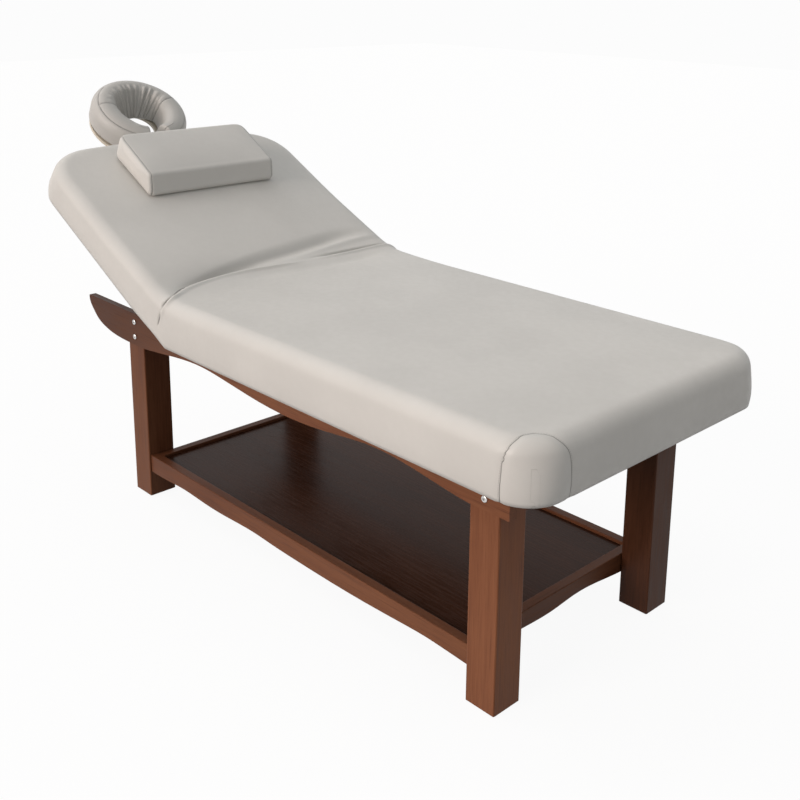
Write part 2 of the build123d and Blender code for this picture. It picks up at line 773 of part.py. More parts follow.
def cradle_cushion(skin):
    """The horseshoe cushion with its two rounded ends, whole or without its skin."""
    face = cushion_section(skin)
    body = horseshoe(face)
    end_angle = ring_end_angle - math.degrees(skin / ring_radius)
    for side in (-1, 1):
        faces = []
        for share, size in ring_end_shares:
            angle = side * (ring_gap_angle / 2 - end_angle * share)
            faces.append(Rot(0, 0, angle) * Pos(ring_radius, 0, 0) * scale(face, size))
        body = body + loft(faces, ruled=True)
    return body


def build_cradle():
    """Plate with its lugs, hook and loop strip, cushion, axle and lever, drawn flat and then tilted."""
    axle_x, axle_z = tilt_axis()
    half_y = ear_offset + ear_thickness
    plate_low = axle_z + cradle_rise
    plate_high = plate_low + plate_thickness
    centre_x = axle_x - ring_centre_reach
    strip_high = plate_high + pad_strip_thickness
    place = Pos(centre_x, 0, 0)
    plate = place * horseshoe(plate_face(0, plate_low, plate_high))
    strip = place * horseshoe(plate_face(strip_margin, plate_high, strip_high))
    cushion = Pos(centre_x, 0, strip_high) * cradle_cushion(0)
    filling = Pos(centre_x, 0, strip_high) * cradle_cushion(cover_thickness)
    axle_bore = rod(axle_radius + running_fit, (axle_x, -half_y, axle_z), (0, 1, 0), 2 * half_y)
    lugs = []
    for side in (-1, 1):
        face_y = ear_offset - lug_side_gap
        y0, y1 = sorted((side * face_y, side * (face_y - lug_thickness)))
        lug = block(axle_x - ear_radius, axle_x + ear_radius, y0, y1, axle_z, plate_low)
        lug = lug + rod(ear_radius, (axle_x, y0, axle_z), (0, 1, 0), lug_thickness)
        foot = block(axle_x - lug_foot_reach, axle_x + ear_radius, y0, y1, plate_low - hinge_plate, plate_low)
        lugs.append(lug + foot - axle_bore)
    axle_end = half_y + lever_hub_width
    axle = rod(axle_radius, (axle_x, -half_y, axle_z), (0, 1, 0), half_y + axle_end)
    head = rod(axle_head_radius, (axle_x, -half_y - seat_gap - axle_radius, axle_z), (0, 1, 0), axle_radius)
    neck = rod(axle_radius, (axle_x, -half_y - seat_gap, axle_z), (0, 1, 0), seat_gap)
    parts["cradle_plate"] = raised(tilted(plate))
    parts["cradle_lugs"] = raised(tilted(group(lugs)))
    parts["cradle_strip"] = raised(tilted(strip))
    parts["cradle_foam"] = raised(tilted(filling))
    parts["cradle_cover"] = raised(tilted(cushion - filling))
    parts["cradle_axle"] = raised(axle + head + neck)
    hub_y = half_y + seat_gap
    hub = rod(lever_hub_radius, (axle_x, hub_y, axle_z), (0, 1, 0), lever_hub_width)
    arm_y = hub_y + lever_hub_width - lever_thickness
    half = lever_width / 2
    arm = block(axle_x - half, axle_x + half, arm_y, arm_y + lever_thickness, axle_z - lever_length, axle_z)
    tip = rod(half, (axle_x, arm_y, axle_z - lever_length), (0, 1, 0), lever_thickness)
    bore = rod(axle_radius + running_fit, (axle_x, hub_y - overrun, axle_z), (0, 1, 0), lever_hub_width + 2 * overrun)
    parts["cradle_lever"] = raised(hub + arm + tip - bore)


def build_pillow():
    """The loose pillow, lying on the back."""
    x = hinge_x - pillow_start - pillow_depth / 2
    z = back_underside + back_height + seat_gap
    place = Pos(x, 0, z) * Rot(0, 0, 90)
    t = cover_thickness
    outer = place * pad_block(pillow_length, pillow_depth, pillow_height, pillow_corner, pillow_edge_round,
                              pillow_crown, pillow_draw_in)
    inner = place * Pos(0, 0, t) * pad_block(pillow_length - 2 * t, pillow_depth - 2 * t, pillow_height - 2 * t,
                                             pillow_corner - t, pillow_edge_round - t, pillow_crown,
                                             pillow_draw_in)
    parts["pillow_foam"] = raised(inner)
    parts["pillow_cover"] = raised(outer - inner)


build_frame()
cross_dowels = build_cross_rails()
shelf_dowels = build_shelf()
parts["frame_dowels"] = group(cross_dowels)
parts["shelf_dowels"] = group(shelf_dowels)
seat_block = build_seat()
back_block = build_back()
build_bridge(seat_block, back_block)
build_hinges()
build_cradle_mount()
build_cradle()
build_pillow()

boxes = [shape.bounding_box() for shape in parts.values()]
low_x = min(box.min.X for box in boxes)
high_x = max(box.max.X for box in boxes)
middle_shift = -(low_x + high_x) / 2

os.makedirs("parts", exist_ok=True)
for name, shape in parts.items():
    export_step(Pos(middle_shift, 0, 0) * shape, "parts/" + name + ".step")

axle_x, axle_z = tilt_axis()
turn = math.radians(back_raised_angle)
axle_out = hinge_x - axle_x
axle_up = axle_z - hinge_z
print("x shift", round(middle_shift, 4))
print("hinge line x, z", round(hinge_x + middle_shift, 4), hinge_z)
print("tilt axle x, z", round(hinge_x - axle_out * math.cos(turn) + axle_up * math.sin(turn) + middle_shift, 4),
      round(hinge_z + axle_out * math.sin(turn) + axle_up * math.cos(turn), 4))
print("length from x", round(low_x + middle_shift, 2), "to", round(high_x + middle_shift, 2))
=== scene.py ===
import bpy
import bmesh
import json
import math
import numpy as np
from mathutils import Matrix, Vector


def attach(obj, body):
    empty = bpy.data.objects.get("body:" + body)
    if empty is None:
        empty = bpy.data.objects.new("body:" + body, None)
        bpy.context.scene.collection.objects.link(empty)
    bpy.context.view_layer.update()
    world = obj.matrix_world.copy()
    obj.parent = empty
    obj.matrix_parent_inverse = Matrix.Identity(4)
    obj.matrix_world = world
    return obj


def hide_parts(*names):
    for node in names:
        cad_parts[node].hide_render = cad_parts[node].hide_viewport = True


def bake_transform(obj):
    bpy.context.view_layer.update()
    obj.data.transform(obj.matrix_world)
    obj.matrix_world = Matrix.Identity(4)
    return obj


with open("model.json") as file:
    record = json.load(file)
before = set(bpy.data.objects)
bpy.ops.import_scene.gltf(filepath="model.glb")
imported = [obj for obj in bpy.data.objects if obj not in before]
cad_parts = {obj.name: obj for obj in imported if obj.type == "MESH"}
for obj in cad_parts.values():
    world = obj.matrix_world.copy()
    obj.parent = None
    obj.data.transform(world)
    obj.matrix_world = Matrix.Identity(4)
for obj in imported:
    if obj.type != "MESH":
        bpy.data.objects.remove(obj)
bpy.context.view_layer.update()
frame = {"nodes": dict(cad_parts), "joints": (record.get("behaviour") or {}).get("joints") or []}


def place_of(name):
    """Where a joint of the frame stands."""
    return np.array(next(joint["pos_m"] for joint in frame["joints"] if joint["name"] == name))


# Sizes in metres. The seat's levels count from the floor, the back's from the hinge line, across its lean
HINGE = place_of("back_raise")
AXLE = place_of("cradle_tilt")
LEAN = math.radians(26.8)
HALF_WIDTH = 0.383
SEAT_LENGTH = 1.146
SEAT_LOW, SEAT_HIGH = 0.510, 0.633
BACK_LENGTH = 0.723
BACK_LOW, BACK_HIGH = 0.0323, 0.1353
# A distance that stands for no sewn line or crease near, and the smallest length that counts
NO_LINE = 1.0
TINY = 1e-6


# Small helpers

def deselect():
    if bpy.context.object and bpy.context.object.mode != "OBJECT":
        bpy.ops.object.mode_set(mode="OBJECT")
    bpy.ops.object.select_all(action="DESELECT")


def activate(piece):
    deselect()
    piece.select_set(True)
    bpy.context.view_layer.objects.active = piece


def settle(piece):
    """Move a finished piece's place into its mesh."""
    activate(piece)
    bpy.ops.object.transform_apply(location=True, rotation=True, scale=True)


def points_of(piece):
    flat = np.empty(len(piece.data.vertices) * 3)
    piece.data.vertices.foreach_get("co", flat)
    return flat.reshape(-1, 3)


def set_points(piece, points):
    piece.data.vertices.foreach_set("co", points.ravel())
    piece.data.update()


def normals_of(piece):
    flat = np.empty(len(piece.data.vertices) * 3)
    piece.data.vertices.foreach_get("normal", flat)
    return flat.reshape(-1, 3)


def smooth(t):
    t = np.clip(t, 0, 1)
    return t * t * (3 - 2 * t)


def store(piece, name, values):
    """Keep one number per point for a material to read."""
    layer = piece.data.attributes.new(name, "FLOAT", "POINT")
    layer.data.foreach_set("value", np.asarray(values, dtype=np.float32))


def nearest_on_path(points, path):
    """For each point: its distance from a path of 3-D points, how far along it lies (0 to 1), the offset
    from the path, and the path's heading there."""
    path = np.asarray(path, float)
    lengths = np.linalg.norm(np.diff(path, axis=0), axis=1)
    starts = np.concatenate([[0], np.cumsum(lengths)])
    best = np.full(len(points), 1e9)
    along = np.zeros(len(points))
    offset = np.zeros((len(points), 3))
    heading = np.zeros((len(points), 3))
    for i in range(len(path) - 1):
        step = path[i + 1] - path[i]
        t = np.clip(((points - path[i]) @ step) / (step @ step), 0, 1)
        gap = points - (path[i] + t[:, None] * step)
        distance = np.linalg.norm(gap, axis=1)
        closer = distance < best
        best[closer] = distance[closer]
        along[closer] = (starts[i] + t[closer] * lengths[i]) / starts[-1]
        offset[closer] = gap[closer]
        heading[closer] = step / lengths[i]
    return best, along, offset, heading


def smooth_path(path, count):
    """A Catmull-Rom curve through measured points."""
    path = np.asarray(path, float)
    ends = np.vstack([2 * path[0] - path[1], path, 2 * path[-1] - path[-2]])
    spots = []
    for value in np.linspace(0, len(path) - 1 - 1e-9, count):
        i = int(value)
        t = value - i
        a, b, c, d = ends[i:i + 4]
        spots.append(0.5 * (2 * b + (c - a) * t + (2 * a - 5 * b + 4 * c - d) * t ** 2
                            + (3 * b - a - 3 * c + d) * t ** 3))
    return np.array(spots)


# Materials

class Wire:
    """A socket of a finish that can be added, multiplied and so on."""

    def __init__(self, finish, socket):
        self.finish = finish
        self.socket = socket

    def _math(self, operation, first, second=0.0):
        return self.finish.node("ShaderNodeMath", {"operation": operation}, {0: first, 1: second})

    def __add__(self, other):
        return self._math("ADD", self, other)

    __radd__ = __add__

    def __sub__(self, other):
        return self._math("SUBTRACT", self, other)

    def __rsub__(self, other):
        return self._math("SUBTRACT", other, self)

    def __mul__(self, other):
        return self._math("MULTIPLY", self, other)

    __rmul__ = __mul__

    def __abs__(self):
        return self._math("ABSOLUTE", self)

    def least(self, other):
        return self._math("MINIMUM", self, other)


class Finish:
    """One material, built from nodes."""

    def __init__(self, name, roughness=0.5, **constants):
        self.material = bpy.data.materials.new(name)
        self.material.use_nodes = True
        self.tree = self.material.node_tree
        self.shader = self.tree.nodes["Principled BSDF"]
        self.shader.inputs["Roughness"].default_value = roughness
        for key, value in constants.items():
            self.shader.inputs[key.replace("_", " ")].default_value = value
        self.column = 0

    def put(self, socket, value):
        if isinstance(value, Wire):
            self.tree.links.new(value.socket, socket)
        elif value is not None:
            socket.default_value = value

    def node(self, kind, settings, values, output=0):
        """Any node: its settings first, then the values or links of its sockets."""
        node = self.tree.nodes.new(kind)
        self.column += 1
        node.location = (-200 * (self.column % 12) - 300, -160 * (self.column // 12))
        for key, value in settings.items():
            if key == "stops":
                ramp = node.color_ramp
                while len(ramp.elements) < len(value):
                    ramp.elements.new(0.5)
                for element, (position, colour) in zip(ramp.elements, value):
                    element.position = position
                    element.color = (*colour, 1)
            else:
                setattr(node, key, value)
        for key, value in values.items():
            self.put(node.inputs[key], value)
        return Wire(self, node.outputs[output])

    def place(self, scale=(1, 1, 1)):
        """Object coordinates, stretched."""
        spot = self.node("ShaderNodeTexCoord", {}, {}, "Object")
        return self.node("ShaderNodeMapping", {}, {"Vector": spot, "Scale": scale})

    def noise(self, place, scale, detail=3.0, rough=0.5, warp=0.0):
        return self.node("ShaderNodeTexNoise", {}, {"Vector": place, "Scale": scale, "Detail": detail,
                                                    "Roughness": rough, "Distortion": warp})

    def read(self, name):
        """A number kept on the piece's points."""
        return self.node("ShaderNodeAttribute", {"attribute_name": name}, {}, "Fac")

    def span(self, value, low, high, to_low=0.0, to_high=1.0):
        """The value taken from one range to another, with eased ends."""
        return self.node("ShaderNodeMapRange", {"interpolation_type": "SMOOTHSTEP"},
                         {"Value": value, "From Min": low, "From Max": high,
                          "To Min": to_low, "To Max": to_high})

    def mix(self, amount, first, second):
        node = self.node("ShaderNodeMix", {"data_type": "RGBA"}, {0: amount}, 2).socket.node
        for slot, value in ((6, first), (7, second)):
            self.put(node.inputs[slot], value if isinstance(value, Wire) else (*value, 1))
        return Wire(self, node.outputs[2])

    def ramp(self, value, stops):
        return self.node("ShaderNodeValToRGB", {"stops": stops}, {0: value})

    def bump(self, height, distance, strength=1.0, below=None):
        return self.node("ShaderNodeBump", {}, {"Strength": strength, "Distance": distance,
                                                "Height": height, "Normal": below})

    def finish(self, **links):
        for key, value in links.items():
            self.put(self.shader.inputs[key.replace("_", " ")], value)
        return self.material


def linear(red, green, blue):
    """A colour read from a screen, 0 to 255, as the linear values that a shader takes."""
    out = []
    for channel in (red, green, blue):
        c = channel / 255
        out.append(c / 12.92 if c <= 0.04045 else ((c + 0.055) / 1.055) ** 2.4)
    return tuple(out)


def shade(tone, share):
    """A colour made darker or lighter."""
    return tuple(min(1, c * share) for c in tone)


# Half a sewn groove's width, how far beside it the stitches run and half their spacing; and where the
# painted shade of a crease's dark line starts to fade and where it ends
SEAM_HALF, STITCH_ASIDE, STITCH_BEAT = 0.0011, 0.0030, 0.0022
CREASE_CORE, CREASE_EDGE = 0.0009, 0.0032


def hide_finish(name, tone):
    """Soft matte hide: fine grain, faint cloudiness, sewn grooves darkened with painted shade, darker
    stitches, and painted shade in the creases.
    """
    skin = Finish(name, roughness=0.5, IOR=1.45)
    spot = skin.place()
    cloud = skin.noise(spot, 5.0, 2.0)
    fine = skin.noise(spot, 60.0, 3.0)
    colour = skin.mix(skin.span(cloud, 0.35, 0.65), shade(tone, 0.965), shade(tone, 1.015))
    colour = skin.mix(skin.span(fine, 0.3, 0.7, 0.0, 0.07), colour, shade(tone, 0.85))
    cells = skin.node("ShaderNodeTexVoronoi", {"feature": "F1"},
                      {"Vector": spot, "Scale": 900.0, "Randomness": 0.9})
    pores = skin.noise(spot, 1600.0, 2.0)
    normal = skin.bump(cells * 0.7 + pores * 0.3, 0.00025, 0.35)
    normal = skin.bump(skin.noise(spot, 14.0, 2.0), 0.003, 0.08, normal)
    rough = skin.span(fine, 0.2, 0.8, 0.42, 0.56)

    first, second = skin.read("seam"), skin.read("seam_two")
    groove = 1 - skin.span(abs(first).least(abs(second)), 0.0002, SEAM_HALF)
    beat = skin.node("ShaderNodeMath", {"operation": "PINGPONG"}, {0: skin.read("seam_run"), 1: STITCH_BEAT})
    beside = abs(first - STITCH_ASIDE).least(abs(second - STITCH_ASIDE))
    stitch = (1 - skin.span(beside, 0.0004, 0.0009)) * skin.span(beat, 0.0007, 0.0011)
    normal = skin.bump(1 - groove, 0.0018, 0.9, normal)
    normal = skin.bump(stitch, 0.0006, 0.8, normal)
    # Painted shade: the sewn groove is darkened; the stitches beside it are darker thread
    colour = skin.mix(groove * 0.6, colour, shade(tone, 0.25))
    colour = skin.mix(stitch * 0.3, colour, shade(tone, 0.5))

    # Painted shade: crease_shade darkens a broad band behind the near fold and along the valley, and a thin
    # painted dark line runs along each crease
    colour = skin.mix(skin.read("crease_shade") * 0.36, colour, shade(tone, 0.25))
    crease = (1 - skin.span(abs(skin.read("crease")), CREASE_CORE, CREASE_EDGE)) * skin.read("crease_depth")
    colour = skin.mix(crease * 0.85, colour, shade(tone, 0.25))
    return skin.finish(Base_Color=colour, Roughness=rough, Normal=normal)


def wood_finish(name, axis, tones, gloss=0.42, shine=0.1, depth=1.0, head_end_shade=0.0):
    """Stained wood with its grain along one axis; depth darkens it all and the last argument its head end,
    both as painted shade.
    """
    deep, middle, pale = (tuple(c * depth for c in tone) for tone in tones)
    wood = Finish(name, roughness=gloss, IOR=1.5, Specular_IOR_Level=shine)
    along_grain = [0.07 if i == axis else 1.0 for i in range(3)]
    along_pores = [0.02 if i == axis else 1.0 for i in range(3)]
    spot = wood.place(along_grain)
    broad = wood.noise(spot, 9.0, 4.0, 0.55, 0.6)
    fibre = wood.noise(spot, 160.0, 5.0, 0.65, 0.3)
    pores = wood.noise(wood.place(along_pores), 420.0, 2.0)
    wear = wood.noise(wood.place(), 3.0, 2.0)
    colour = wood.ramp(broad * 0.62 + fibre * 0.38, [(0.28, deep), (0.5, middle), (0.72, pale)])
    colour = wood.mix(wood.span(pores, 0.58, 0.72, 0.0, 0.45), colour, shade(deep, 0.45))
    colour = wood.mix(wood.span(wear, 0.35, 0.7, 0.0, 0.25), colour, pale)
    # Painted shade: darker towards the head end
    if head_end_shade:
        from_head = wood.node("ShaderNodeSeparateXYZ", {}, {"Vector": wood.place()}, "X")
        colour = wood.mix(wood.span(from_head, -0.62, 0.25, head_end_shade, 0.0), colour, shade(deep, 0.3))
    return wood.finish(Base_Color=colour,
                       Roughness=wood.span(fibre, 0.3, 0.7, gloss - 0.05, gloss + 0.09),
                       Normal=wood.bump(fibre * 0.5 + pores * 0.5, 0.0003, 0.25))


def metal_finish(name, tone, rough):
    metal = Finish(name, roughness=rough, Metallic=1.0)
    brushed = metal.noise(metal.place(), 700.0, 3.0)
    grime = metal.noise(metal.place(), 40.0, 2.0)
    colour = metal.mix(metal.span(grime, 0.4, 0.7, 0.0, 0.25), tone, shade(tone, 0.7))
    return metal.finish(Base_Color=colour,
                        Roughness=metal.span(brushed, 0.3, 0.7, rough - 0.06, rough + 0.1),
                        Normal=metal.bump(brushed, 0.0001, 0.15))


def plastic_finish(name, tone, rough):
    shell = Finish(name, roughness=rough)
    grain = shell.noise(shell.place(), 1500.0, 2.0)
    tint = shell.noise(shell.place(), 30.0, 2.0)
    colour = shell.mix(shell.span(tint, 0.3, 0.7), shade(tone, 0.92), tone)
    return shell.finish(Base_Color=colour,
                        Roughness=shell.span(tint, 0.3, 0.7, rough - 0.05, rough + 0.05),
                        Normal=shell.bump(grain, 0.0001, 0.3))


def cloth_finish(name, tone):
    cloth = Finish(name, roughness=0.9, Sheen_Weight=0.2)
    threads = [cloth.node("ShaderNodeTexWave", {"bands_direction": way},
                          {"Vector": cloth.place(), "Scale": 260.0}) for way in ("X", "Y")]
    weave = threads[0] * threads[1]
    colour = cloth.mix(weave, tone, tuple(min(1, c * 1.7 + 0.004) for c in tone))
    return cloth.finish(Base_Color=colour, Normal=cloth.bump(weave, 0.0003, 0.5))


HIDE_TONE = linear(202, 200, 195)
STAIN = [linear(80, 44, 28), linear(112, 68, 45), linear(136, 89, 62)]
hide = hide_finish("greige_hide", HIDE_TONE)
# Painted shade: the cradle's cushion takes a darker copy of the same hide
ring_hide_painted_shade = hide_finish("greige_hide_cradle", shade(HIDE_TONE, 0.81))
# Painted shade: a depth below 1 gives darker copies of one stain for the pieces that lie in shade, and the
# rails' head ends are painted darker as shade; the near foot leg's copy is a touch lighter
rail_stain = wood_finish("stained_wood_rail", 0, STAIN, depth=0.93, head_end_shade=0.68)
shelf_stain = wood_finish("stained_wood_shelf_rail", 0, STAIN, depth=0.78, head_end_shade=0.15)
shaded_stain_x = wood_finish("deep_stained_wood_lengthwise", 0, STAIN, depth=0.66)
shaded_stain_y = wood_finish("deep_stained_wood_crosswise", 1, STAIN, depth=0.62)
stain_z = wood_finish("stained_wood_upright", 2, STAIN, depth=1.02)
half_shaded_stain_z = wood_finish("mid_stained_wood_upright", 2, STAIN, depth=0.72)
shaded_stain_z = wood_finish("deep_stained_wood_upright", 2, STAIN, depth=0.44)
LACQUER = [linear(42, 23, 14), linear(57, 33, 22), linear(76, 46, 31)]
lacquer = wood_finish("dark_lacquer", 0, LACQUER, gloss=0.24, shine=0.06)
BARE = [linear(150, 118, 82), linear(186, 154, 112), linear(206, 176, 134)]
bare_x = wood_finish("bare_wood_lengthwise", 0, BARE, gloss=0.6)
bare_y = wood_finish("bare_wood_crosswise", 1, BARE, gloss=0.6)
bright_steel = metal_finish("plated_steel", linear(214, 212, 210), 0.22)
black_steel = metal_finish("black_steel", linear(52, 52, 54), 0.42)
pale_alloy = metal_finish("pale_alloy", linear(200, 202, 204), 0.36)
pale_board = plastic_finish("pale_ring_board", linear(205, 196, 180), 0.45)
black_plastic = plastic_finish("black_plastic", linear(34, 34, 36), 0.4)
dark_cloth = cloth_finish("dark_cloth", linear(26, 25, 25))

FINISH_OF = {
    "leg_head_near": half_shaded_stain_z, "leg_head_far": shaded_stain_z, "leg_foot_near": stain_z,
    "leg_foot_far": shaded_stain_z, "side_rail_near": rail_stain, "side_rail_far": shaded_stain_x,
    "shelf_rail_near": shelf_stain, "shelf_rail_far": shaded_stain_x, "shelf_end_head": shaded_stain_y,
    "shelf_end_foot": shaded_stain_y, "shelf_panel": lacquer, "shelf_bearer": bare_y,
    "cross_rail_head": shaded_stain_y, "cross_rail_hinge": shaded_stain_y, "cross_rail_middle": shaded_stain_y,
    "cross_rail_foot": shaded_stain_y,
    "frame_dowels": bare_y, "shelf_dowels": bare_x, "seat_board": bare_x, "back_board": bare_x,
    "seat_cleats": bare_x, "back_battens": bare_x, "head_batten": bare_y, "hinge_blocks": bare_x,
    "rail_bolts": bright_steel, "rail_sleeve_nuts": bright_steel, "cradle_posts": bright_steel,
    "cradle_axle": bright_steel, "cradle_sockets": black_steel, "cradle_bracket": pale_alloy,
    "cradle_lugs": pale_alloy, "cradle_plate": pale_board, "cradle_strip": dark_cloth,
    "cradle_lever": black_plastic, "leg_glides": black_plastic,
}
for node, piece in frame["nodes"].items():
    finish = FINISH_OF.get(node, black_steel if node.startswith("hinge") else None)
    if finish:
        piece.data.materials.clear()
        piece.data.materials.append(finish)


# The padded top

def grid_block(name, low, high, bands):
    """A block cut into rows of faces: for each axis, bands has pairs of a border and the cuts before it."""
    deselect()
    middle = [(a + b) / 2 for a, b in zip(low, high)]
    bpy.ops.mesh.primitive_cube_add(size=1, location=middle)
    piece = bpy.context.object
    piece.name = name
    piece.scale = [b - a for a, b in zip(low, high)]
    settle(piece)
    bpy.ops.object.mode_set(mode="EDIT")
    bpy.ops.mesh.select_mode(type="EDGE")
    for axis, rows in enumerate(bands):
        for border, cuts in rows[:-1]:
            spot = list(middle)
            spot[axis] = border
            bpy.ops.mesh.select_all(action="SELECT")
            bpy.ops.mesh.bisect(plane_co=spot, plane_no=[float(i == axis) for i in range(3)])
    for axis, rows in enumerate(bands):
        start = low[axis]
        for border, cuts in rows:
            select_edges_along(piece, axis, start, border)
            bpy.ops.mesh.subdivide(number_cuts=cuts)
            start = border
    bpy.ops.object.mode_set(mode="OBJECT")
    return piece


def select_edges_along(piece, axis, start, border):
    """Select, in edit mode, the edges that run along an axis between two places on it."""
    bpy.ops.mesh.select_all(action="DESELECT")
    shape = bmesh.from_edit_mesh(piece.data)
    for edge in shape.edges:
        a, b = edge.verts[0].co, edge.verts[1].co
        length = abs(b[axis] - a[axis])
        parallel = length > TINY and abs(length - (a - b).length) < TINY
        inside = start - 10 * TINY < (a[axis] + b[axis]) / 2 < border + 10 * TINY
        if parallel and inside:
            edge.select = True
    shape.select_flush_mode()
    bmesh.update_edit_mesh(piece.data)


# A pad's section: its fullest level as a share of the height, the share of the half width at which the
# top has risen in full, how far in the underside is drawn, and how deep in the grid is plain again
WAIST, CROWN_FULL, UNDER_TURN, PLAIN_DEPTH = 0.4, 0.72, 0.05, 0.12
# A pad's corners: the share of the radius over which the grid bends, and how far on it still eases
CORNER_SHARE, CORNER_EASE = 0.75, 0.15


def rounded_pad(flat, low, high, rounds, swell, edge, crown, draw, height):
    """Rounded cushion places for the points of a block whose z runs from 0 to 1.

    rounds holds the corner radii at the low and the high end, and swell is how much rounder the
    corners are at the top. edge is the radius of the upper edge, crown the rise of the top, and draw
    how far the sides are drawn in above and below the waist. Returns x, y and the level as a share
    of the height."""
    x, y, z = flat.T
    half = (high[1] - low[1]) / 2
    centre_y = (high[1] + low[1]) / 2
    near_low = (x - low[0]) < (high[0] - x)
    from_end = np.where(near_low, x - low[0], high[0] - x)
    from_side = half - np.abs(y - centre_y)
    by_side = from_side <= from_end
    d = np.minimum(from_end, from_side)
    e = np.maximum(from_end, from_side) - d
    top = z > 1 - TINY
    bottom = z < TINY

    # How far in from the outline each point lies, and how high
    arc = edge * math.pi / 2
    turn = np.clip(d / arc, 0, 1) * math.pi / 2
    top_inset = np.where(d < arc, draw * WAIST + edge * (1 - np.cos(turn)), 0)
    start = draw * WAIST + edge
    widening = (PLAIN_DEPTH - start) / (PLAIN_DEPTH - arc)
    top_inset = np.where(d >= arc, start + (d - arc) * widening, top_inset)
    top_inset = np.where(d >= PLAIN_DEPTH, d, top_inset)
    shoulder = height - crown - edge
    rise = crown * (1 - (1 - np.clip((top_inset - start) / (CROWN_FULL * half - start), 0, 1)) ** 2)
    top_level = np.where(d < arc, shoulder + edge * np.sin(turn), height - crown + rise)
    above, below = np.clip((z - WAIST) / (1 - WAIST), 0, 1), np.clip(1 - z / WAIST, 0, 1)
    side_inset = draw * below ** 2 + WAIST * draw * above ** 2
    low_inset = d + draw * np.clip(1 - d / UNDER_TURN, 0, 1)
    inset = np.where(top, top_inset, np.where(bottom, low_inset, side_inset))
    level = np.where(top, top_level, np.where(bottom, 0, z * shoulder))

    # The rounded corners in plan
    corner = np.where(near_low, *rounds) + swell * np.where(top, 1.0, z ** 1.5)
    rho = np.clip(corner - inset, 0, None)
    reach = rho * CORNER_SHARE
    bend = np.clip(1 - e / np.maximum(reach, 1e-9), 0, 1) * math.pi / 4
    curved = e < reach
    close = np.where(curved, inset + rho * (1 - np.cos(bend)), inset)
    ease = 1 - smooth((e - reach) / CORNER_EASE)
    away = np.where(curved, inset + rho * (1 - np.sin(bend)), (d + e) + ((inset + rho) - (d + reach)) * ease)
    from_end, from_side = np.where(by_side, away, close), np.where(by_side, close, away)
    new_x = np.where(near_low, low[0] + from_end, high[0] - from_end)
    new_y = centre_y + np.sign(y - centre_y) * (half - from_side)
    return new_x, new_y, level / height


# The joint's own stretch of the top, counted from the hinge line, and the bend's radius above and below
REGION_FOOT, REGION_HEAD = 0.090, 0.190
TOP_BEND, UNDER_BEND = 0.25, 0.02


def back_spot(s, n):
    """A place on the raised back, s along it and n up from it, as x and z from the hinge line."""
    c, sn = math.cos(LEAN), math.sin(LEAN)
    return np.stack([-s * c + n * sn, s * sn + n * c], -1)


def joint_line(seat_level, back_level, radius):
    """The line, from the seat to the back, at one level of each, with the corner rounded."""
    meet_x = (back_level - seat_level * math.cos(LEAN)) / math.sin(LEAN)
    centre = np.array([meet_x + radius * math.tan(LEAN / 2), seat_level + radius])
    path = [np.array([REGION_FOOT, seat_level])]
    for angle in np.linspace(0, LEAN, 40):
        path.append(centre + radius * np.array([-math.sin(angle), -math.cos(angle)]))
    path.append(back_spot(REGION_HEAD, back_level))
    path = np.array(path)
    steps = np.concatenate([[0], np.cumsum(np.linalg.norm(np.diff(path, axis=0), axis=1))])
    return path, steps / steps[-1]


TOP_LINE = joint_line(SEAT_HIGH - HINGE[2], BACK_HIGH, TOP_BEND)
LOW_LINE = joint_line(SEAT_LOW - HINGE[2], BACK_LOW, UNDER_BEND)


def line_at(line, x, seat_level, back_level):
    """Where a flat place x, counted from the hinge line, goes along the seat and the raised back."""
    path, share = line
    p = (REGION_FOOT - x) / (REGION_FOOT + REGION_HEAD)
    joint = np.stack([np.interp(p, share, path[:, 0]), np.interp(p, share, path[:, 1])], -1)
    seat = np.stack([x, np.full_like(x, seat_level)], -1)
    back = back_spot(-x, np.full_like(x, back_level))
    out = np.where((x > REGION_FOOT)[:, None], seat, joint)
    return np.where((x < -REGION_HEAD)[:, None], back, out)


# How far the back's cover hangs below its board, how far its top falls at the sides, and how far the
# top stands higher at the far end of the fold
LIP, SAG, FAR_RISE = 0.0065, 0.009, 0.0055


def build_top():
    """The whole padded top under one cover, from the foot to the head of the raised back."""
    low = (-BACK_LENGTH, -HALF_WIDTH, 0)
    high = (SEAT_LENGTH, HALF_WIDTH, 1)
    rim = 0.07
    x_bands = [(low[0] + rim, 14), (-REGION_HEAD - 0.02, 32), (-0.105, 30), (0.03, 90),
               (REGION_FOOT + 0.02, 24), (high[0] - rim, 56), (high[0], 14)]
    y_bands = [(low[1] + rim, 18), (high[1] - rim, 60), (high[1], 18)]
    piece = grid_block("top_cover", low, high, (x_bands, y_bands, [(1, 9)]))
    flat = points_of(piece)
    x, y, level = rounded_pad(flat, low, high, rounds=(0.117, 0.080), swell=0.014, edge=0.036,
                              crown=0.005, draw=0.004, height=SEAT_HIGH - SEAT_LOW)
    bottom = line_at(LOW_LINE, x, SEAT_LOW - HINGE[2], BACK_LOW)
    top = line_at(TOP_LINE, x, SEAT_HIGH - HINGE[2], BACK_HIGH)
    spot = bottom + level[:, None] * (top - bottom)
    points = np.stack([HINGE[0] + spot[:, 0], y, HINGE[2] + spot[:, 1]], -1)
    under = flat[:, 2] < TINY
    points[under, 2] -= 0.0003

    # The cover hangs over the board's edge at the back's sides, and its top falls off towards them
    raised = smooth((-x - 0.03) / 0.15) * smooth((np.abs(y) - 0.318) / 0.030)
    lip = raised * (1 - smooth(flat[:, 2] / 0.35)) * LIP
    upper = smooth(flat[:, 2] * 1.2)
    sag = smooth((-x - 0.12) / 0.30) * smooth((np.abs(y) - 0.12) / 0.25) * upper * SAG
    points -= (lip + sag)[:, None] * np.array([math.sin(LEAN), 0, math.cos(LEAN)])
    points[:, 2] += smooth((y - 0.2) / 0.15) * hump(x, -0.01, 0.13) * upper * FAR_RISE
    set_points(piece, points)
    even_out(piece, ~under)
    return piece, flat


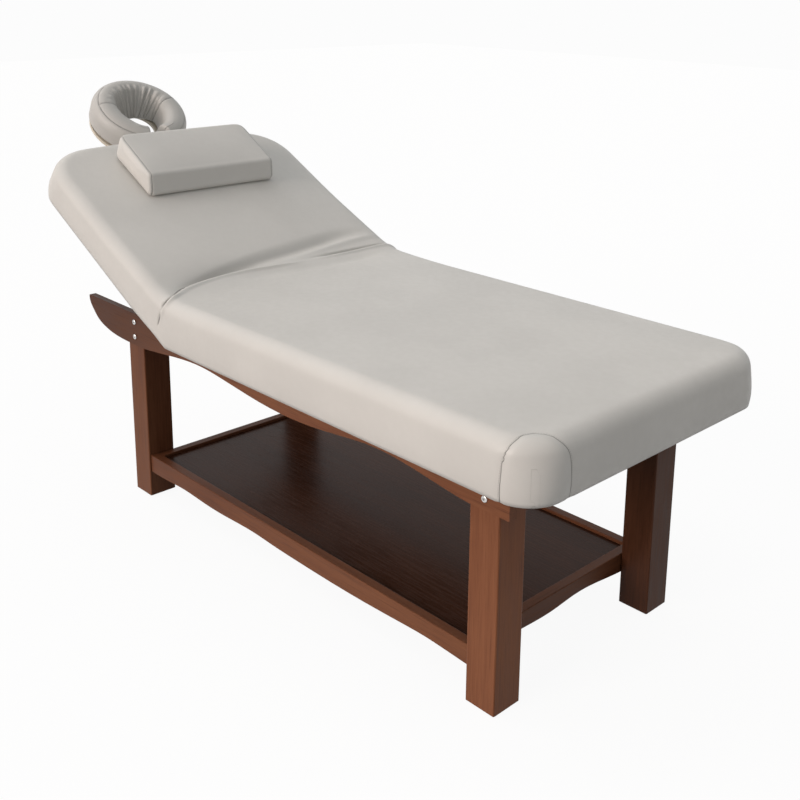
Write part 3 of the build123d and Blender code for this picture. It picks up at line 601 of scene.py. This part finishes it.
def even_out(piece, chosen):
    """Smooth the chosen points."""
    activate(piece)
    bpy.ops.object.mode_set(mode="EDIT")
    bpy.ops.mesh.select_mode(type="VERT")
    bpy.ops.mesh.select_all(action="DESELECT")
    bpy.ops.object.mode_set(mode="OBJECT")
    piece.data.vertices.foreach_set("select", chosen)
    bpy.ops.object.mode_set(mode="EDIT")
    bpy.ops.mesh.vertices_smooth(factor=0.5, repeat=4)
    bpy.ops.object.mode_set(mode="OBJECT")


def dress(piece, *finishes):
    for finish in finishes:
        piece.data.materials.append(finish)
    for face in piece.data.polygons:
        face.use_smooth = True


def beside(points, path):
    """Which points lie near a line, how far each is from it (positive towards the head end), and the share
    of the way along it."""
    fine = smooth_path(path, 120)
    near = np.where(np.abs(points[:, 0] - fine[:, 0].mean()) < 0.13)[0]
    distance, along, offset, _ = nearest_on_path(points[near], fine)
    inside = ((along > 0) & (along < 1)) | (distance < 0.004)
    signed = distance * np.where(offset @ TOWARDS_HEAD > 0, 1.0, -1.0)
    return near[inside], signed[inside], along[inside]


def press(piece, path, depth, shape, run):
    """Push the points near a measured line in or out: depth is the full push, shape its share for the
    distance across the line and the share of the way along it, and run where along it the push starts,
    is full, fades and ends."""
    points = points_of(piece)
    near, signed, along = beside(points, path)
    push = depth * shape(signed, along) * rise_and_fall(along, *run)
    points[near] += normals_of(piece)[near] * push[:, None]
    set_points(piece, points)


def hump(d, centre, width):
    """A soft bump, 1 at its centre."""
    return np.exp(-((d - centre) / width) ** 2)


def rise_and_fall(t, start, full, fade, end):
    """0 before the start, 1 from full to fade, and 0 after the end."""
    return smooth((t - start) / (full - start)) * (1 - smooth((t - fade) / (end - fade)))


def behind(d, drop, fade):
    """A sudden drop on the head side of a line that eases out again."""
    return smooth(d / drop) * np.exp(-np.clip(d - drop, 0, None) / fade)


def from_hinge(path):
    """Places whose x counts from the hinge line."""
    return [(HINGE[0] + x, y, z) for x, y, z in path]


# Folds of the cover where the seat meets the back, and the sewn line of the near foot corner
FOLD_NEAR = from_hinge([
    (-0.0126, -0.3829, 0.5618), (-0.0080, -0.3825, 0.5766), (-0.0002, -0.3813, 0.5933),
    (0.0096, -0.3780, 0.6086), (0.0136, -0.3674, 0.6218), (0.0079, -0.3460, 0.6308),
    (-0.0126, -0.3024, 0.6376), (-0.0240, -0.2425, 0.6429), (-0.0300, -0.1846, 0.6460),
    (-0.0307, -0.1286, 0.6468), (-0.0272, -0.0743, 0.6455), (-0.0235, -0.0185, 0.6442),
    (-0.0203, 0.0392, 0.6432), (-0.0211, 0.0893, 0.6434)])
FOLD_FAR = from_hinge([
    (-0.0215, 0.0647, 0.6436), (-0.0226, 0.0905, 0.6440), (-0.0229, 0.1285, 0.6440),
    (-0.0220, 0.1663, 0.6435), (-0.0218, 0.2318, 0.6424), (-0.0211, 0.2989, 0.6404),
    (-0.0199, 0.3325, 0.6388), (-0.0150, 0.3600, 0.6330), (-0.0070, 0.3780, 0.6150),
    (-0.0090, 0.3829, 0.5900), (-0.0150, 0.3829, 0.5650)])
VALLEY = from_hinge([
    (0.0054, -0.3570, 0.6293), (-0.0074, -0.3313, 0.6351), (-0.0209, -0.2971, 0.6403),
    (-0.0326, -0.2368, 0.6461), (-0.0417, -0.1766, 0.6508), (-0.0506, -0.1144, 0.6553),
    (-0.0587, -0.0510, 0.6593), (-0.0640, 0.0123, 0.6619), (-0.0688, 0.0772, 0.6643),
    (-0.0751, 0.1454, 0.6674), (-0.0833, 0.2173, 0.6707), (-0.0882, 0.2888, 0.6714),
    (-0.0894, 0.3453, 0.6700), (-0.0880, 0.3750, 0.6560)])
TIGHT = from_hinge([
    (0.0012, -0.3789, 0.6086), (0.0036, -0.3750, 0.6157), (0.0064, -0.3695, 0.6216),
    (0.0083, -0.3614, 0.6267), (0.0082, -0.3487, 0.6306)])
SOFT_DIP = from_hinge([
    (-0.0153, -0.2110, 0.6407), (-0.0041, -0.1476, 0.6384), (0.0102, -0.0439, 0.6354),
    (0.0205, 0.0683, 0.6337), (0.0288, 0.1885, 0.6320), (0.0252, 0.3265, 0.6286)])
SEAM_NEAR = from_hinge([
    (1.0728, -0.3790, 0.5095), (1.0733, -0.3816, 0.5282), (1.0747, -0.3823, 0.5576),
    (1.0765, -0.3809, 0.5821), (1.0801, -0.3774, 0.6024), (1.0829, -0.3689, 0.6148),
    (1.0855, -0.3564, 0.6227), (1.0873, -0.3386, 0.6260), (1.0962, -0.3203, 0.6263),
    (1.1106, -0.3083, 0.6258), (1.1243, -0.3011, 0.6220), (1.1338, -0.2946, 0.6151),
    (1.1407, -0.2875, 0.6050), (1.1439, -0.2817, 0.5921), (1.1452, -0.2783, 0.5731),
    (1.1459, -0.2780, 0.5530), (1.1449, -0.2770, 0.5272), (1.1420, -0.2770, 0.5095)])
TOWARDS_HEAD = np.array([-math.cos(LEAN / 2), 0, math.sin(LEAN / 2)])

# Each push of the cover: the line, the full push, its shape across the line, and its run along it
PUSHES = [
    (SOFT_DIP, -0.0040, lambda d, t: hump(d, 0, 0.020), (0, 0.3, 0.8, 1)),
    (VALLEY, -0.0110, lambda d, t: hump(d, 0, 0.011 + 0.009 * smooth(t / 0.6)), (0.05, 0.35, 0.72, 1.0)),
    (VALLEY, 0.0035, lambda d, t: hump(d, -0.028, 0.012), (0.5, 0.7, 0.85, 1.0)),
    (FOLD_NEAR, -0.0150, lambda d, t: behind(d, 0.006, 0.012 + 0.014 * t), (0.14, 0.38, 0.5, 0.85)),
    (FOLD_NEAR, -0.0055, lambda d, t: hump(d, 0.0032, 0.0028), (0.05, 0.12, 0.17, 0.3)),
    (FOLD_NEAR, -0.0040, lambda d, t: hump(d, 0, 0.0030), (0, 0.02, 0.05, 0.07)),
    (FOLD_NEAR, 0.0045, lambda d, t: hump(d, -0.0035, 0.0060), (0.03, 0.15, 0.75, 1.0)),
    (FOLD_FAR, -0.0110, lambda d, t: hump(d, 0.0015, 0.0045), (0, 0.5, 0.88, 1.0)),
    (FOLD_FAR, 0.0035, lambda d, t: hump(d, -0.009, 0.006), (0, 0.4, 0.88, 1.0)),
    (TIGHT, -0.0060, lambda d, t: hump(d, 0, 0.0032), (0, 0.3, 0.7, 1)),
]

# Each crease's painted dark line, which is painted shade: the line, how far on its head side the dark line
# lies, and how dark it is
CREASES = [
    (FOLD_NEAR,
     lambda t: 0.0032 * smooth((t - 0.045) / 0.05) + 0.0068 * smooth((t - 0.14) / 0.12),
     lambda t: rise_and_fall(t, 0, 0.02, 0.045, 0.07) + 0.85 * rise_and_fall(t, 0.07, 0.14, 0.42, 0.65)),
    (FOLD_FAR, lambda t: 0.0015, lambda t: rise_and_fall(t, 0.05, 0.5, 0.93, 1.0)),
    (TIGHT, lambda t: 0.0, lambda t: rise_and_fall(t, 0, 0.25, 0.7, 1)),
]


def fold_cover(piece):
    """The folds that the cover makes where the back is raised, and the painted shade along its creases and
    in its valley, kept on the points for the hide.
    """
    start = points_of(piece)
    # Painted shade: the thin dark line along each crease, as each point's signed distance from it and how
    # dark it is there
    gap = np.full(len(start), NO_LINE)
    depth = np.zeros(len(start))
    for path, shift, full in CREASES:
        near, signed, along = beside(start, path)
        signed = signed - shift(along)
        closer = np.abs(signed) < np.abs(gap[near])
        gap[near[closer]] = signed[closer]
        depth[near[closer]] = full(along)[closer]
    # Painted shade: a broad dark band behind the near fold and along the valley
    dark = np.zeros(len(start))
    near, signed, along = beside(start, FOLD_NEAR)
    dark[near] = behind(signed, 0.003, 0.016 + 0.010 * along) * rise_and_fall(along, 0.16, 0.42, 0.5, 0.85)
    near, signed, along = beside(start, VALLEY)
    valley_painted_shade = 0.7 * hump(signed, 0, 0.016) * rise_and_fall(along, 0.1, 0.4, 0.5, 1.0)
    dark[near] = np.maximum(dark[near], valley_painted_shade)
    for path, full, shape, run in PUSHES:
        press(piece, path, full, shape, run)
    store(piece, "crease_shade", dark)
    store(piece, "crease", gap)
    store(piece, "crease_depth", depth)


def sewn_distance(points, normals, path, middle):
    """Signed distance from a sewn line, negative on the side of the middle, and the run along it."""
    fine = smooth_path(path, 160)
    distance, along, offset, heading = nearest_on_path(points, fine)
    length = np.linalg.norm(np.diff(fine, axis=0), axis=1).sum()
    sideways = np.cross(heading, normals)
    side = np.sign(np.einsum("ij,ij->i", sideways, offset))
    towards = np.sign(np.einsum("ij,ij->i", sideways, np.asarray(middle) - points))
    signed = distance * np.where(side == towards, -1.0, 1.0)
    return np.where(distance < NO_LINE, signed, NO_LINE), np.where(distance < NO_LINE, along * length, 0)


# How far the hide turns in underneath, and how far each way from the hinge line the joint spreads
TURN_IN, JOINT_REACH = 0.035, 0.08
SEAM_DIP = 0.0016

top_cover, top_flat = build_top()
fold_cover(top_cover)
points = points_of(top_cover)
gusset_middle = from_hinge([(1.126, -0.36, 0.57)])[0]
seam, seam_run = sewn_distance(points, normals_of(top_cover), SEAM_NEAR, gusset_middle)
set_points(top_cover, points - normals_of(top_cover) * (SEAM_DIP * hump(seam, 0, 0.006))[:, None])
store(top_cover, "seam", seam)
store(top_cover, "seam_run", seam_run)
store(top_cover, "seam_two", np.full(len(top_flat), NO_LINE))
dress(top_cover, hide, dark_cloth)
inner = (top_flat[:, 2] < TINY) & (np.abs(top_flat[:, 1]) < HALF_WIDTH - TURN_IN)
inner &= (top_flat[:, 0] > TURN_IN - BACK_LENGTH) & (top_flat[:, 0] < SEAT_LENGTH - TURN_IN)
for face in top_cover.data.polygons:
    if inner[list(face.vertices)].all():
        face.material_index = 1
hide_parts("seat_cover", "seat_foam", "back_cover", "back_foam", "joint_foam")
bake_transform(top_cover)


# The loose pillow: its size, how far up the back its front lies, how far aside, and its corners in plan
PILLOW_DEPTH, PILLOW_LENGTH, PILLOW_HEIGHT = 0.211, 0.411, 0.069
PILLOW_START, PILLOW_ASIDE = 0.447, -0.0005
BACK_CORNER, FRONT_CORNER = 0.042, 0.012


def onto_back(points, s, n):
    """Places drawn with x towards the foot, y across and z up from the back, set on the raised back."""
    spot = back_spot(s - points[:, 0], n + points[:, 2])
    return np.stack([HINGE[0] + spot[:, 0], points[:, 1], HINGE[2] + spot[:, 1]], -1)


def rounded_outline(corners, rounds, steps=14):
    """A closed outline with rounded corners."""
    corners = [np.array(corner) for corner in corners]
    outline = []
    for i, (corner, radius) in enumerate(zip(corners, rounds)):
        before = corners[i - 1] - corner
        after = corners[(i + 1) % len(corners)] - corner
        before, after = before / np.linalg.norm(before), after / np.linalg.norm(after)
        half = math.acos(np.clip(before @ after, -1, 1)) / 2
        reach = radius / math.tan(half)
        first, last = corner + before * reach, corner + after * reach
        centre = corner + (before + after) / np.linalg.norm(before + after) * (radius / math.sin(half))
        for t in np.linspace(0, 1, steps):
            spot = first * (1 - t) + last * t - centre
            outline.append(centre + spot / np.linalg.norm(spot) * radius)
    return np.array(outline + outline[:1])


def even_outline(outline, count):
    """A closed outline as places at even steps."""
    steps = np.concatenate([[0], np.cumsum(np.linalg.norm(np.diff(outline, axis=0), axis=1))])
    even = np.linspace(0, steps[-1], count, endpoint=False)
    return np.stack([np.interp(even, steps, outline[:, k]) for k in (0, 1)], -1)


def round_in_plan(along, half_along, aside, half_aside, towards_front):
    """One plan place of each point, after the four upright corners of a box are rounded."""
    radius = np.where(towards_front < 0, BACK_CORNER, FRONT_CORNER)
    u = np.clip(1 - (half_along - np.abs(along)) / radius, 0, 1)
    v = np.clip(1 - (half_aside - np.abs(aside)) / radius, 0, 1)
    turned = np.sign(along) * (half_along - radius + radius * u * np.sqrt(1 - v * v / 2))
    return np.where((u > 0) & (v > 0), turned, along)


def build_pillow():
    """A box pillow with a slanted front: one strip over the top and sides, and a sewn panel at each end."""
    half_x, half_y, half_z = PILLOW_DEPTH / 2, PILLOW_LENGTH / 2, PILLOW_HEIGHT / 2
    end_round, end_inset, crown, bulge = 0.011, 0.007, 0.006, 0.004
    low, high = (-half_x, -half_y, 0), (half_x, half_y, 1)
    x_bands = [(low[0] + 0.04, 14), (high[0] - 0.04, 26), (high[0], 14)]
    y_bands = [(low[1] + 0.03, 16), (high[1] - 0.03, 60), (high[1], 16)]
    piece = grid_block("pillow_cushion", low, high, (x_bands, y_bands, [(1, 20)]))
    x, y, z = points_of(piece).T
    across, up = x / half_x, z * 2 - 1

    # The end outline, read round from the middle
    corners = [(half_x + 0.010, -half_z), (half_x - 0.021, half_z - crown - 0.006),
               (-half_x + 0.001, half_z - crown + 0.003), (-half_x + 0.003, -half_z)]
    outline = even_outline(rounded_outline(corners, [0.009, 0.011, 0.018, 0.009], 24), 600)
    turn = np.arctan2(outline[:, 1] / half_z, outline[:, 0] / half_x)
    order = np.argsort(turn)
    reach = np.hypot(outline[:, 0] / half_x, outline[:, 1] / half_z)
    angle = np.arctan2(up, across)
    square = 1 / np.maximum(np.maximum(np.abs(np.cos(angle)), np.abs(np.sin(angle))), 1e-9)
    factor = np.interp(angle, turn[order], reach[order], period=2 * math.pi) / square

    # The rounded ends, the crown and the bulge of the end panels
    end = np.clip((np.abs(y) - (half_y - end_round)) / end_round, 0, 1)
    inset = end_round * (1 - np.sqrt(1 - end ** 2)) * 0.8
    px = across * factor * (half_x - inset)
    pz = up * factor * (half_z - inset)
    room = np.clip(1 - across ** 2, 0, 1) * np.clip(1 - np.abs(y / half_y) ** 4, 0, 1)
    pz += np.where(pz > 0, crown * room * (pz / half_z), 0)
    face = np.abs(y) > half_y - TINY
    depth_in = np.minimum(1 - np.abs(across), 1 - np.abs(up)) * half_z
    swell = bulge * np.clip(depth_in / 0.02, 0, 1) ** 0.7
    py = y * (1 - bulge / half_y) + np.sign(y) * np.where(face, swell, 0)
    seam = np.abs(y) - (half_y - end_inset) + np.where(face, depth_in, 0)
    points = np.stack([round_in_plan(px, half_x, py, half_y, px),
                       round_in_plan(py, half_y, px, half_x, px), pz], -1)
    inward = -points / np.linalg.norm(points, axis=1)[:, None]
    points += inward * (SEAM_DIP * hump(seam, 0, 0.004))[:, None]
    points += np.array([0, PILLOW_ASIDE, half_z])
    store(piece, "seam", seam)
    store(piece, "seam_run", points[:, 0] + points[:, 2])
    store(piece, "seam_two", np.full(len(seam), NO_LINE))
    set_points(piece, onto_back(points, PILLOW_START + half_x, BACK_HIGH + 0.0003))
    return piece


pillow_cushion = build_pillow()
dress(pillow_cushion, hide)
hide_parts("pillow_cover", "pillow_foam")
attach(pillow_cushion, "pillow")


# The face cradle's cushion: its middle and outer radius and its height, its lean, its place from the
# tilt's axle, half the gap on its bed side and the turn of its round ends, and its grid
RING, RING_OUT, RING_HEIGHT, OUTER_ROUND = 0.101, 0.145, 0.084, 0.038
RING_LEAN = LEAN + math.radians(7.4)
RING_REACH, RING_LEVEL = 0.096, 0.025
RING_GAP, RING_END = math.radians(17.5), math.radians(6.5)
COLUMNS, ROWS = 84, 236
# Its sewn lines: where on the outer edge the first runs, how many degrees from the bed it ends, and how
# many degrees from the bed the others cross the cushion
EDGE_SEAM_TURN, EDGE_SEAM_END, CROSS_SEAM = math.radians(54), 146, 104


def ring_spot(points):
    """Places drawn round the ring's axis, x towards the bed and z up from the ring plate."""
    bed = np.array([math.cos(RING_LEAN), 0, -math.sin(RING_LEAN)])
    up = np.array([math.sin(RING_LEAN), 0, math.cos(RING_LEAN)])
    base = AXLE - RING_REACH * bed + RING_LEVEL * up
    return base + points[:, :1] * bed + points[:, 1:2] * np.array([0, 1, 0]) + points[:, 2:] * up


def ring_section(turn):
    """The cushion's section at a turn round the ring, in degrees: its inner wall funnels in at the head."""
    side = abs((turn + 180) % 360 - 180)
    foot = np.interp(side, [0, 96, 112, 131, 150, 180], [0.066, 0.064, 0.057, 0.042, 0.032, 0.028])
    head = float(smooth(np.array((side - 85) / 50)))
    arm = float(smooth(np.array((62 - side) / 40)))
    rim = 0.068 + 0.018 * head + 0.011 * arm
    tuck = 0.005 + 0.007 * float(smooth(np.array((120 - side) / 60)))
    corners = [(RING_OUT - tuck, 0.0), (RING_OUT, RING_HEIGHT), (rim, RING_HEIGHT), (foot, 0.0)]
    rounds = [0.012, OUTER_ROUND, 0.030 - 0.012 * head, 0.008]
    return even_outline(rounded_outline(corners, rounds), COLUMNS)


# The gathers of the inner wall: place round the ring in degrees, depth in millimetres, width and slant
GATHERS = [
    (112, 2.5, 2.2, 8), (121, 3.0, 2.4, -4), (131, 4.2, 2.6, 5), (138, 2.0, 1.8, -6),
    (145, 5.5, 2.8, -3), (153, 2.2, 2.0, 5), (161, 3.6, 3.2, -2), (171, 5.0, 2.8, 3),
    (177, 2.0, 1.6, -3), (184, 3.8, 2.4, 2), (195, 4.2, 2.6, -4), (203, 2.0, 1.8, 3),
    (211, 3.8, 2.6, -5), (220, 2.4, 2.4, 4), (230, 3.0, 2.6, -3), (241, 2.0, 2.2, 4),
]


def open_ring(piece, last):
    """Take out the faces between the first and the last section, and close both ends."""
    bpy.ops.object.mode_set(mode="EDIT")
    bpy.ops.mesh.select_all(action="DESELECT")
    bpy.ops.object.mode_set(mode="OBJECT")
    section_of = np.arange(len(piece.data.vertices)) // COLUMNS
    for face in piece.data.polygons:
        face.select = {section_of[v] for v in face.vertices} == {0, last}
    bpy.ops.object.mode_set(mode="EDIT")
    bpy.ops.mesh.select_mode(type="FACE")
    bpy.ops.mesh.delete(type="ONLY_FACE")
    bpy.ops.mesh.select_mode(type="EDGE")
    for end in (0, last):
        bpy.ops.mesh.select_all(action="DESELECT")
        bpy.ops.object.mode_set(mode="OBJECT")
        for edge in piece.data.edges:
            edge.select = all(section_of[v] == end for v in edge.vertices)
        bpy.ops.object.mode_set(mode="EDIT")
        bpy.ops.mesh.edge_face_add()
    bpy.ops.mesh.select_all(action="SELECT")
    bpy.ops.mesh.normals_make_consistent(inside=False)
    bpy.ops.object.mode_set(mode="OBJECT")


def gathered(turn, up, radius):
    """How far the gathers of the inner wall push each point out."""
    push = np.zeros(len(turn))
    for place, deep, width, slant in GATHERS:
        drift = place + slant * (up / RING_HEIGHT - 0.6)
        narrow = width * (0.55 + 0.45 * up / RING_HEIGHT)
        push -= deep * 0.001 * hump(turn, drift, narrow)
        push += deep * 0.0004 * hump(turn, drift + 2.2 * narrow, narrow)
    return push * smooth((RING + 0.004 - radius) / 0.014) * smooth((up - 0.001) / 0.010)


def build_ring():
    """The horseshoe cushion, from a ring whose bed side is opened and closed with two round ends."""
    shares = np.array([0.985, 0.95, 0.87, 0.75, 0.6, 0.42, 0.22])
    sizes = (1 - shares ** 2.4) ** (1 / 2.4)
    first = RING_GAP - RING_END * shares
    turns = np.concatenate([first, np.linspace(RING_GAP, 2 * math.pi - RING_GAP, ROWS),
                            2 * math.pi - first[::-1]])
    scale = np.concatenate([sizes, np.ones(ROWS), sizes[::-1]])
    deselect()
    bpy.ops.mesh.primitive_torus_add(major_segments=len(turns), minor_segments=COLUMNS,
                                     major_radius=RING, minor_radius=0.04)
    piece = bpy.context.object
    piece.name = "cradle_cushion"
    sections = np.array([ring_section(math.degrees(t)) for t in turns])
    up = sections[:, ::-1, 1].ravel()
    angle = np.repeat(turns, COLUMNS)
    size = np.repeat(scale, COLUMNS)
    radius = RING + (sections[:, ::-1, 0].ravel() - RING) * size
    points = np.stack([radius * np.cos(angle), radius * np.sin(angle), up * size], -1)
    set_points(piece, points)
    open_ring(piece, len(turns) - 1)
    normals = normals_of(piece)
    turn = np.degrees(angle)
    points += normals * gathered(turn, up, radius)[:, None]

    # Two sewn lines: one round the outer edge, and one across the cushion on each side
    alpha = np.arctan2(up - (RING_HEIGHT - OUTER_ROUND), radius - (RING_OUT - OUTER_ROUND))
    alpha = np.where(alpha < -math.pi / 2, alpha + 2 * math.pi, alpha)
    edge = (EDGE_SEAM_TURN - alpha) * OUTER_ROUND
    from_bed = np.minimum(turn, 360 - turn)
    radial = (from_bed - CROSS_SEAM) * np.pi / 180 * np.maximum(radius, 0.02)
    radial = np.where(edge < 0, radial, NO_LINE)
    edge = np.where(from_bed < EDGE_SEAM_END, edge, NO_LINE)
    store(piece, "seam", radial)
    store(piece, "seam_run", np.where(np.abs(edge) < 0.006, angle * radius, up + radius))
    store(piece, "seam_two", edge)
    points -= normals * (0.0015 * hump(radial, 0, 0.004) + 0.0010 * hump(edge, 0, 0.004))[:, None]
    set_points(piece, ring_spot(points))
    return piece


cradle_cushion = build_ring()
dress(cradle_cushion, ring_hide_painted_shade)
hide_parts("cradle_cover", "cradle_foam")
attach(cradle_cushion, "cradle")


# Floor, light and camera: the floor's tone for the light and for the eye, how far it glows by itself,
# the sky's light from below and from above, and its own tone
FLOOR_LIT, FLOOR_SEEN, FLOOR_GLOW = 0.33, 0.97, 0.93
SKY_LOW, SKY_HIGH, SKY_SEEN = 0.42, 0.50, 0.974
FLOOR_WIDTH, FLOOR_DROP = 30, 0.0005
PHOTO_WIDTH, FOCAL_PIXELS, SENSOR_WIDTH = 800, 1085.37, 36

deselect()
bpy.ops.mesh.primitive_plane_add(size=FLOOR_WIDTH, location=(0, 0, -FLOOR_DROP))
floor = bpy.context.object
floor.name = "floor"
pale = bpy.data.materials.new("pale_floor")
pale.use_nodes = True
pale_tree = pale.node_tree
pale_shader = pale_tree.nodes["Principled BSDF"]
pale_shader.inputs["Roughness"].default_value = 1.0
pale_shader.inputs["Specular IOR Level"].default_value = 0.0


def seen_plainly(tree):
    """1 for rays from the camera, mirrors and glass, and 0 for the light that falls on things."""
    rays = tree.nodes.new("ShaderNodeLightPath")
    either = rays.outputs["Is Camera Ray"]
    for kind in ("Is Glossy Ray", "Is Transmission Ray"):
        most = tree.nodes.new("ShaderNodeMath")
        most.operation = "MAXIMUM"
        tree.links.new(either, most.inputs[0])
        tree.links.new(rays.outputs[kind], most.inputs[1])
        either = most.outputs[0]
    return either


seen = seen_plainly(pale_tree)
tint = pale_tree.nodes.new("ShaderNodeMix")
tint.data_type = "RGBA"
tint.inputs[6].default_value = (FLOOR_LIT, FLOOR_LIT, FLOOR_LIT, 1)
tint.inputs[7].default_value = (FLOOR_SEEN, FLOOR_SEEN, FLOOR_SEEN, 1)
pale_tree.links.new(seen, tint.inputs[0])
pale_tree.links.new(tint.outputs[2], pale_shader.inputs["Base Color"])
white = pale_tree.nodes.new("ShaderNodeEmission")
share = pale_tree.nodes.new("ShaderNodeMath")
share.operation = "MULTIPLY"
share.inputs[1].default_value = FLOOR_GLOW
pale_tree.links.new(seen, share.inputs[0])
blend = pale_tree.nodes.new("ShaderNodeMixShader")
pale_tree.links.new(share.outputs[0], blend.inputs[0])
pale_tree.links.new(pale_shader.outputs[0], blend.inputs[1])
pale_tree.links.new(white.outputs[0], blend.inputs[2])
pale_tree.links.new(blend.outputs[0], pale_tree.nodes["Material Output"].inputs[0])
floor.data.materials.append(pale)


def lamp(name, heading, strength, width, colour):
    """A far, wide studio lamp: heading points from the bed to it, width is how many degrees it spans."""
    data = bpy.data.lights.new(name, "SUN")
    data.energy = strength
    data.color = colour
    data.angle = math.radians(width)
    item = bpy.data.objects.new(name, data)
    bpy.context.collection.objects.link(item)
    item.location = 4 * Vector(heading)
    item.rotation_euler = (-Vector(heading)).to_track_quat("-Z", "Y").to_euler()


lamp("key", (-0.12, -0.93, 0.33), 2.15, 32, (1.0, 0.88, 0.82))
lamp("top", (-0.55, -0.15, 0.82), 0.62, 50, (0.97, 0.99, 1.0))
world = bpy.context.scene.world or bpy.data.worlds.new("studio")
bpy.context.scene.world = world
world.use_nodes = True
sky = world.node_tree
sky.nodes["Background"].inputs[0].default_value = (1, 1, 1, 1)
heading = sky.nodes.new("ShaderNodeTexCoord")
parts = sky.nodes.new("ShaderNodeSeparateXYZ")
sky.links.new(heading.outputs["Generated"], parts.inputs[0])
rising = sky.nodes.new("ShaderNodeMapRange")
rising.inputs["To Min"].default_value = SKY_LOW
rising.inputs["To Max"].default_value = SKY_HIGH
sky.links.new(parts.outputs["Z"], rising.inputs["Value"])
level = sky.nodes.new("ShaderNodeMix")
sky.links.new(seen_plainly(sky), level.inputs[0])
sky.links.new(rising.outputs[0], level.inputs[2])
level.inputs[3].default_value = SKY_SEEN
sky.links.new(level.outputs[0], sky.nodes["Background"].inputs[1])

CAMERA_PLACE = Vector((HINGE[0] + 2.1783983, -1.65045, 1.3715))
azimuth, rise, roll = math.radians(45.611), math.radians(13.819), math.radians(0.736)
backward = Vector((math.sin(azimuth) * math.cos(rise), -math.cos(azimuth) * math.cos(rise), math.sin(rise)))
right = (-backward).cross(Vector((0, 0, 1))).normalized()
upward = right.cross(-backward)
turned_right = right * math.cos(roll) + upward * math.sin(roll)
turned_up = -right * math.sin(roll) + upward * math.cos(roll)
view = bpy.data.cameras.new("photo_view")
view.sensor_width = SENSOR_WIDTH
view.lens = FOCAL_PIXELS / PHOTO_WIDTH * SENSOR_WIDTH
view.shift_x = -0.0284
view.shift_y = -0.1941
camera = bpy.data.objects.new("photo_view", view)
bpy.context.collection.objects.link(camera)
basis = Matrix((turned_right, turned_up, backward)).transposed()
camera.matrix_world = Matrix.Translation(CAMERA_PLACE) @ basis.to_4x4()
bpy.context.scene.camera = camera
bpy.context.scene.view_settings.view_transform = "Standard"
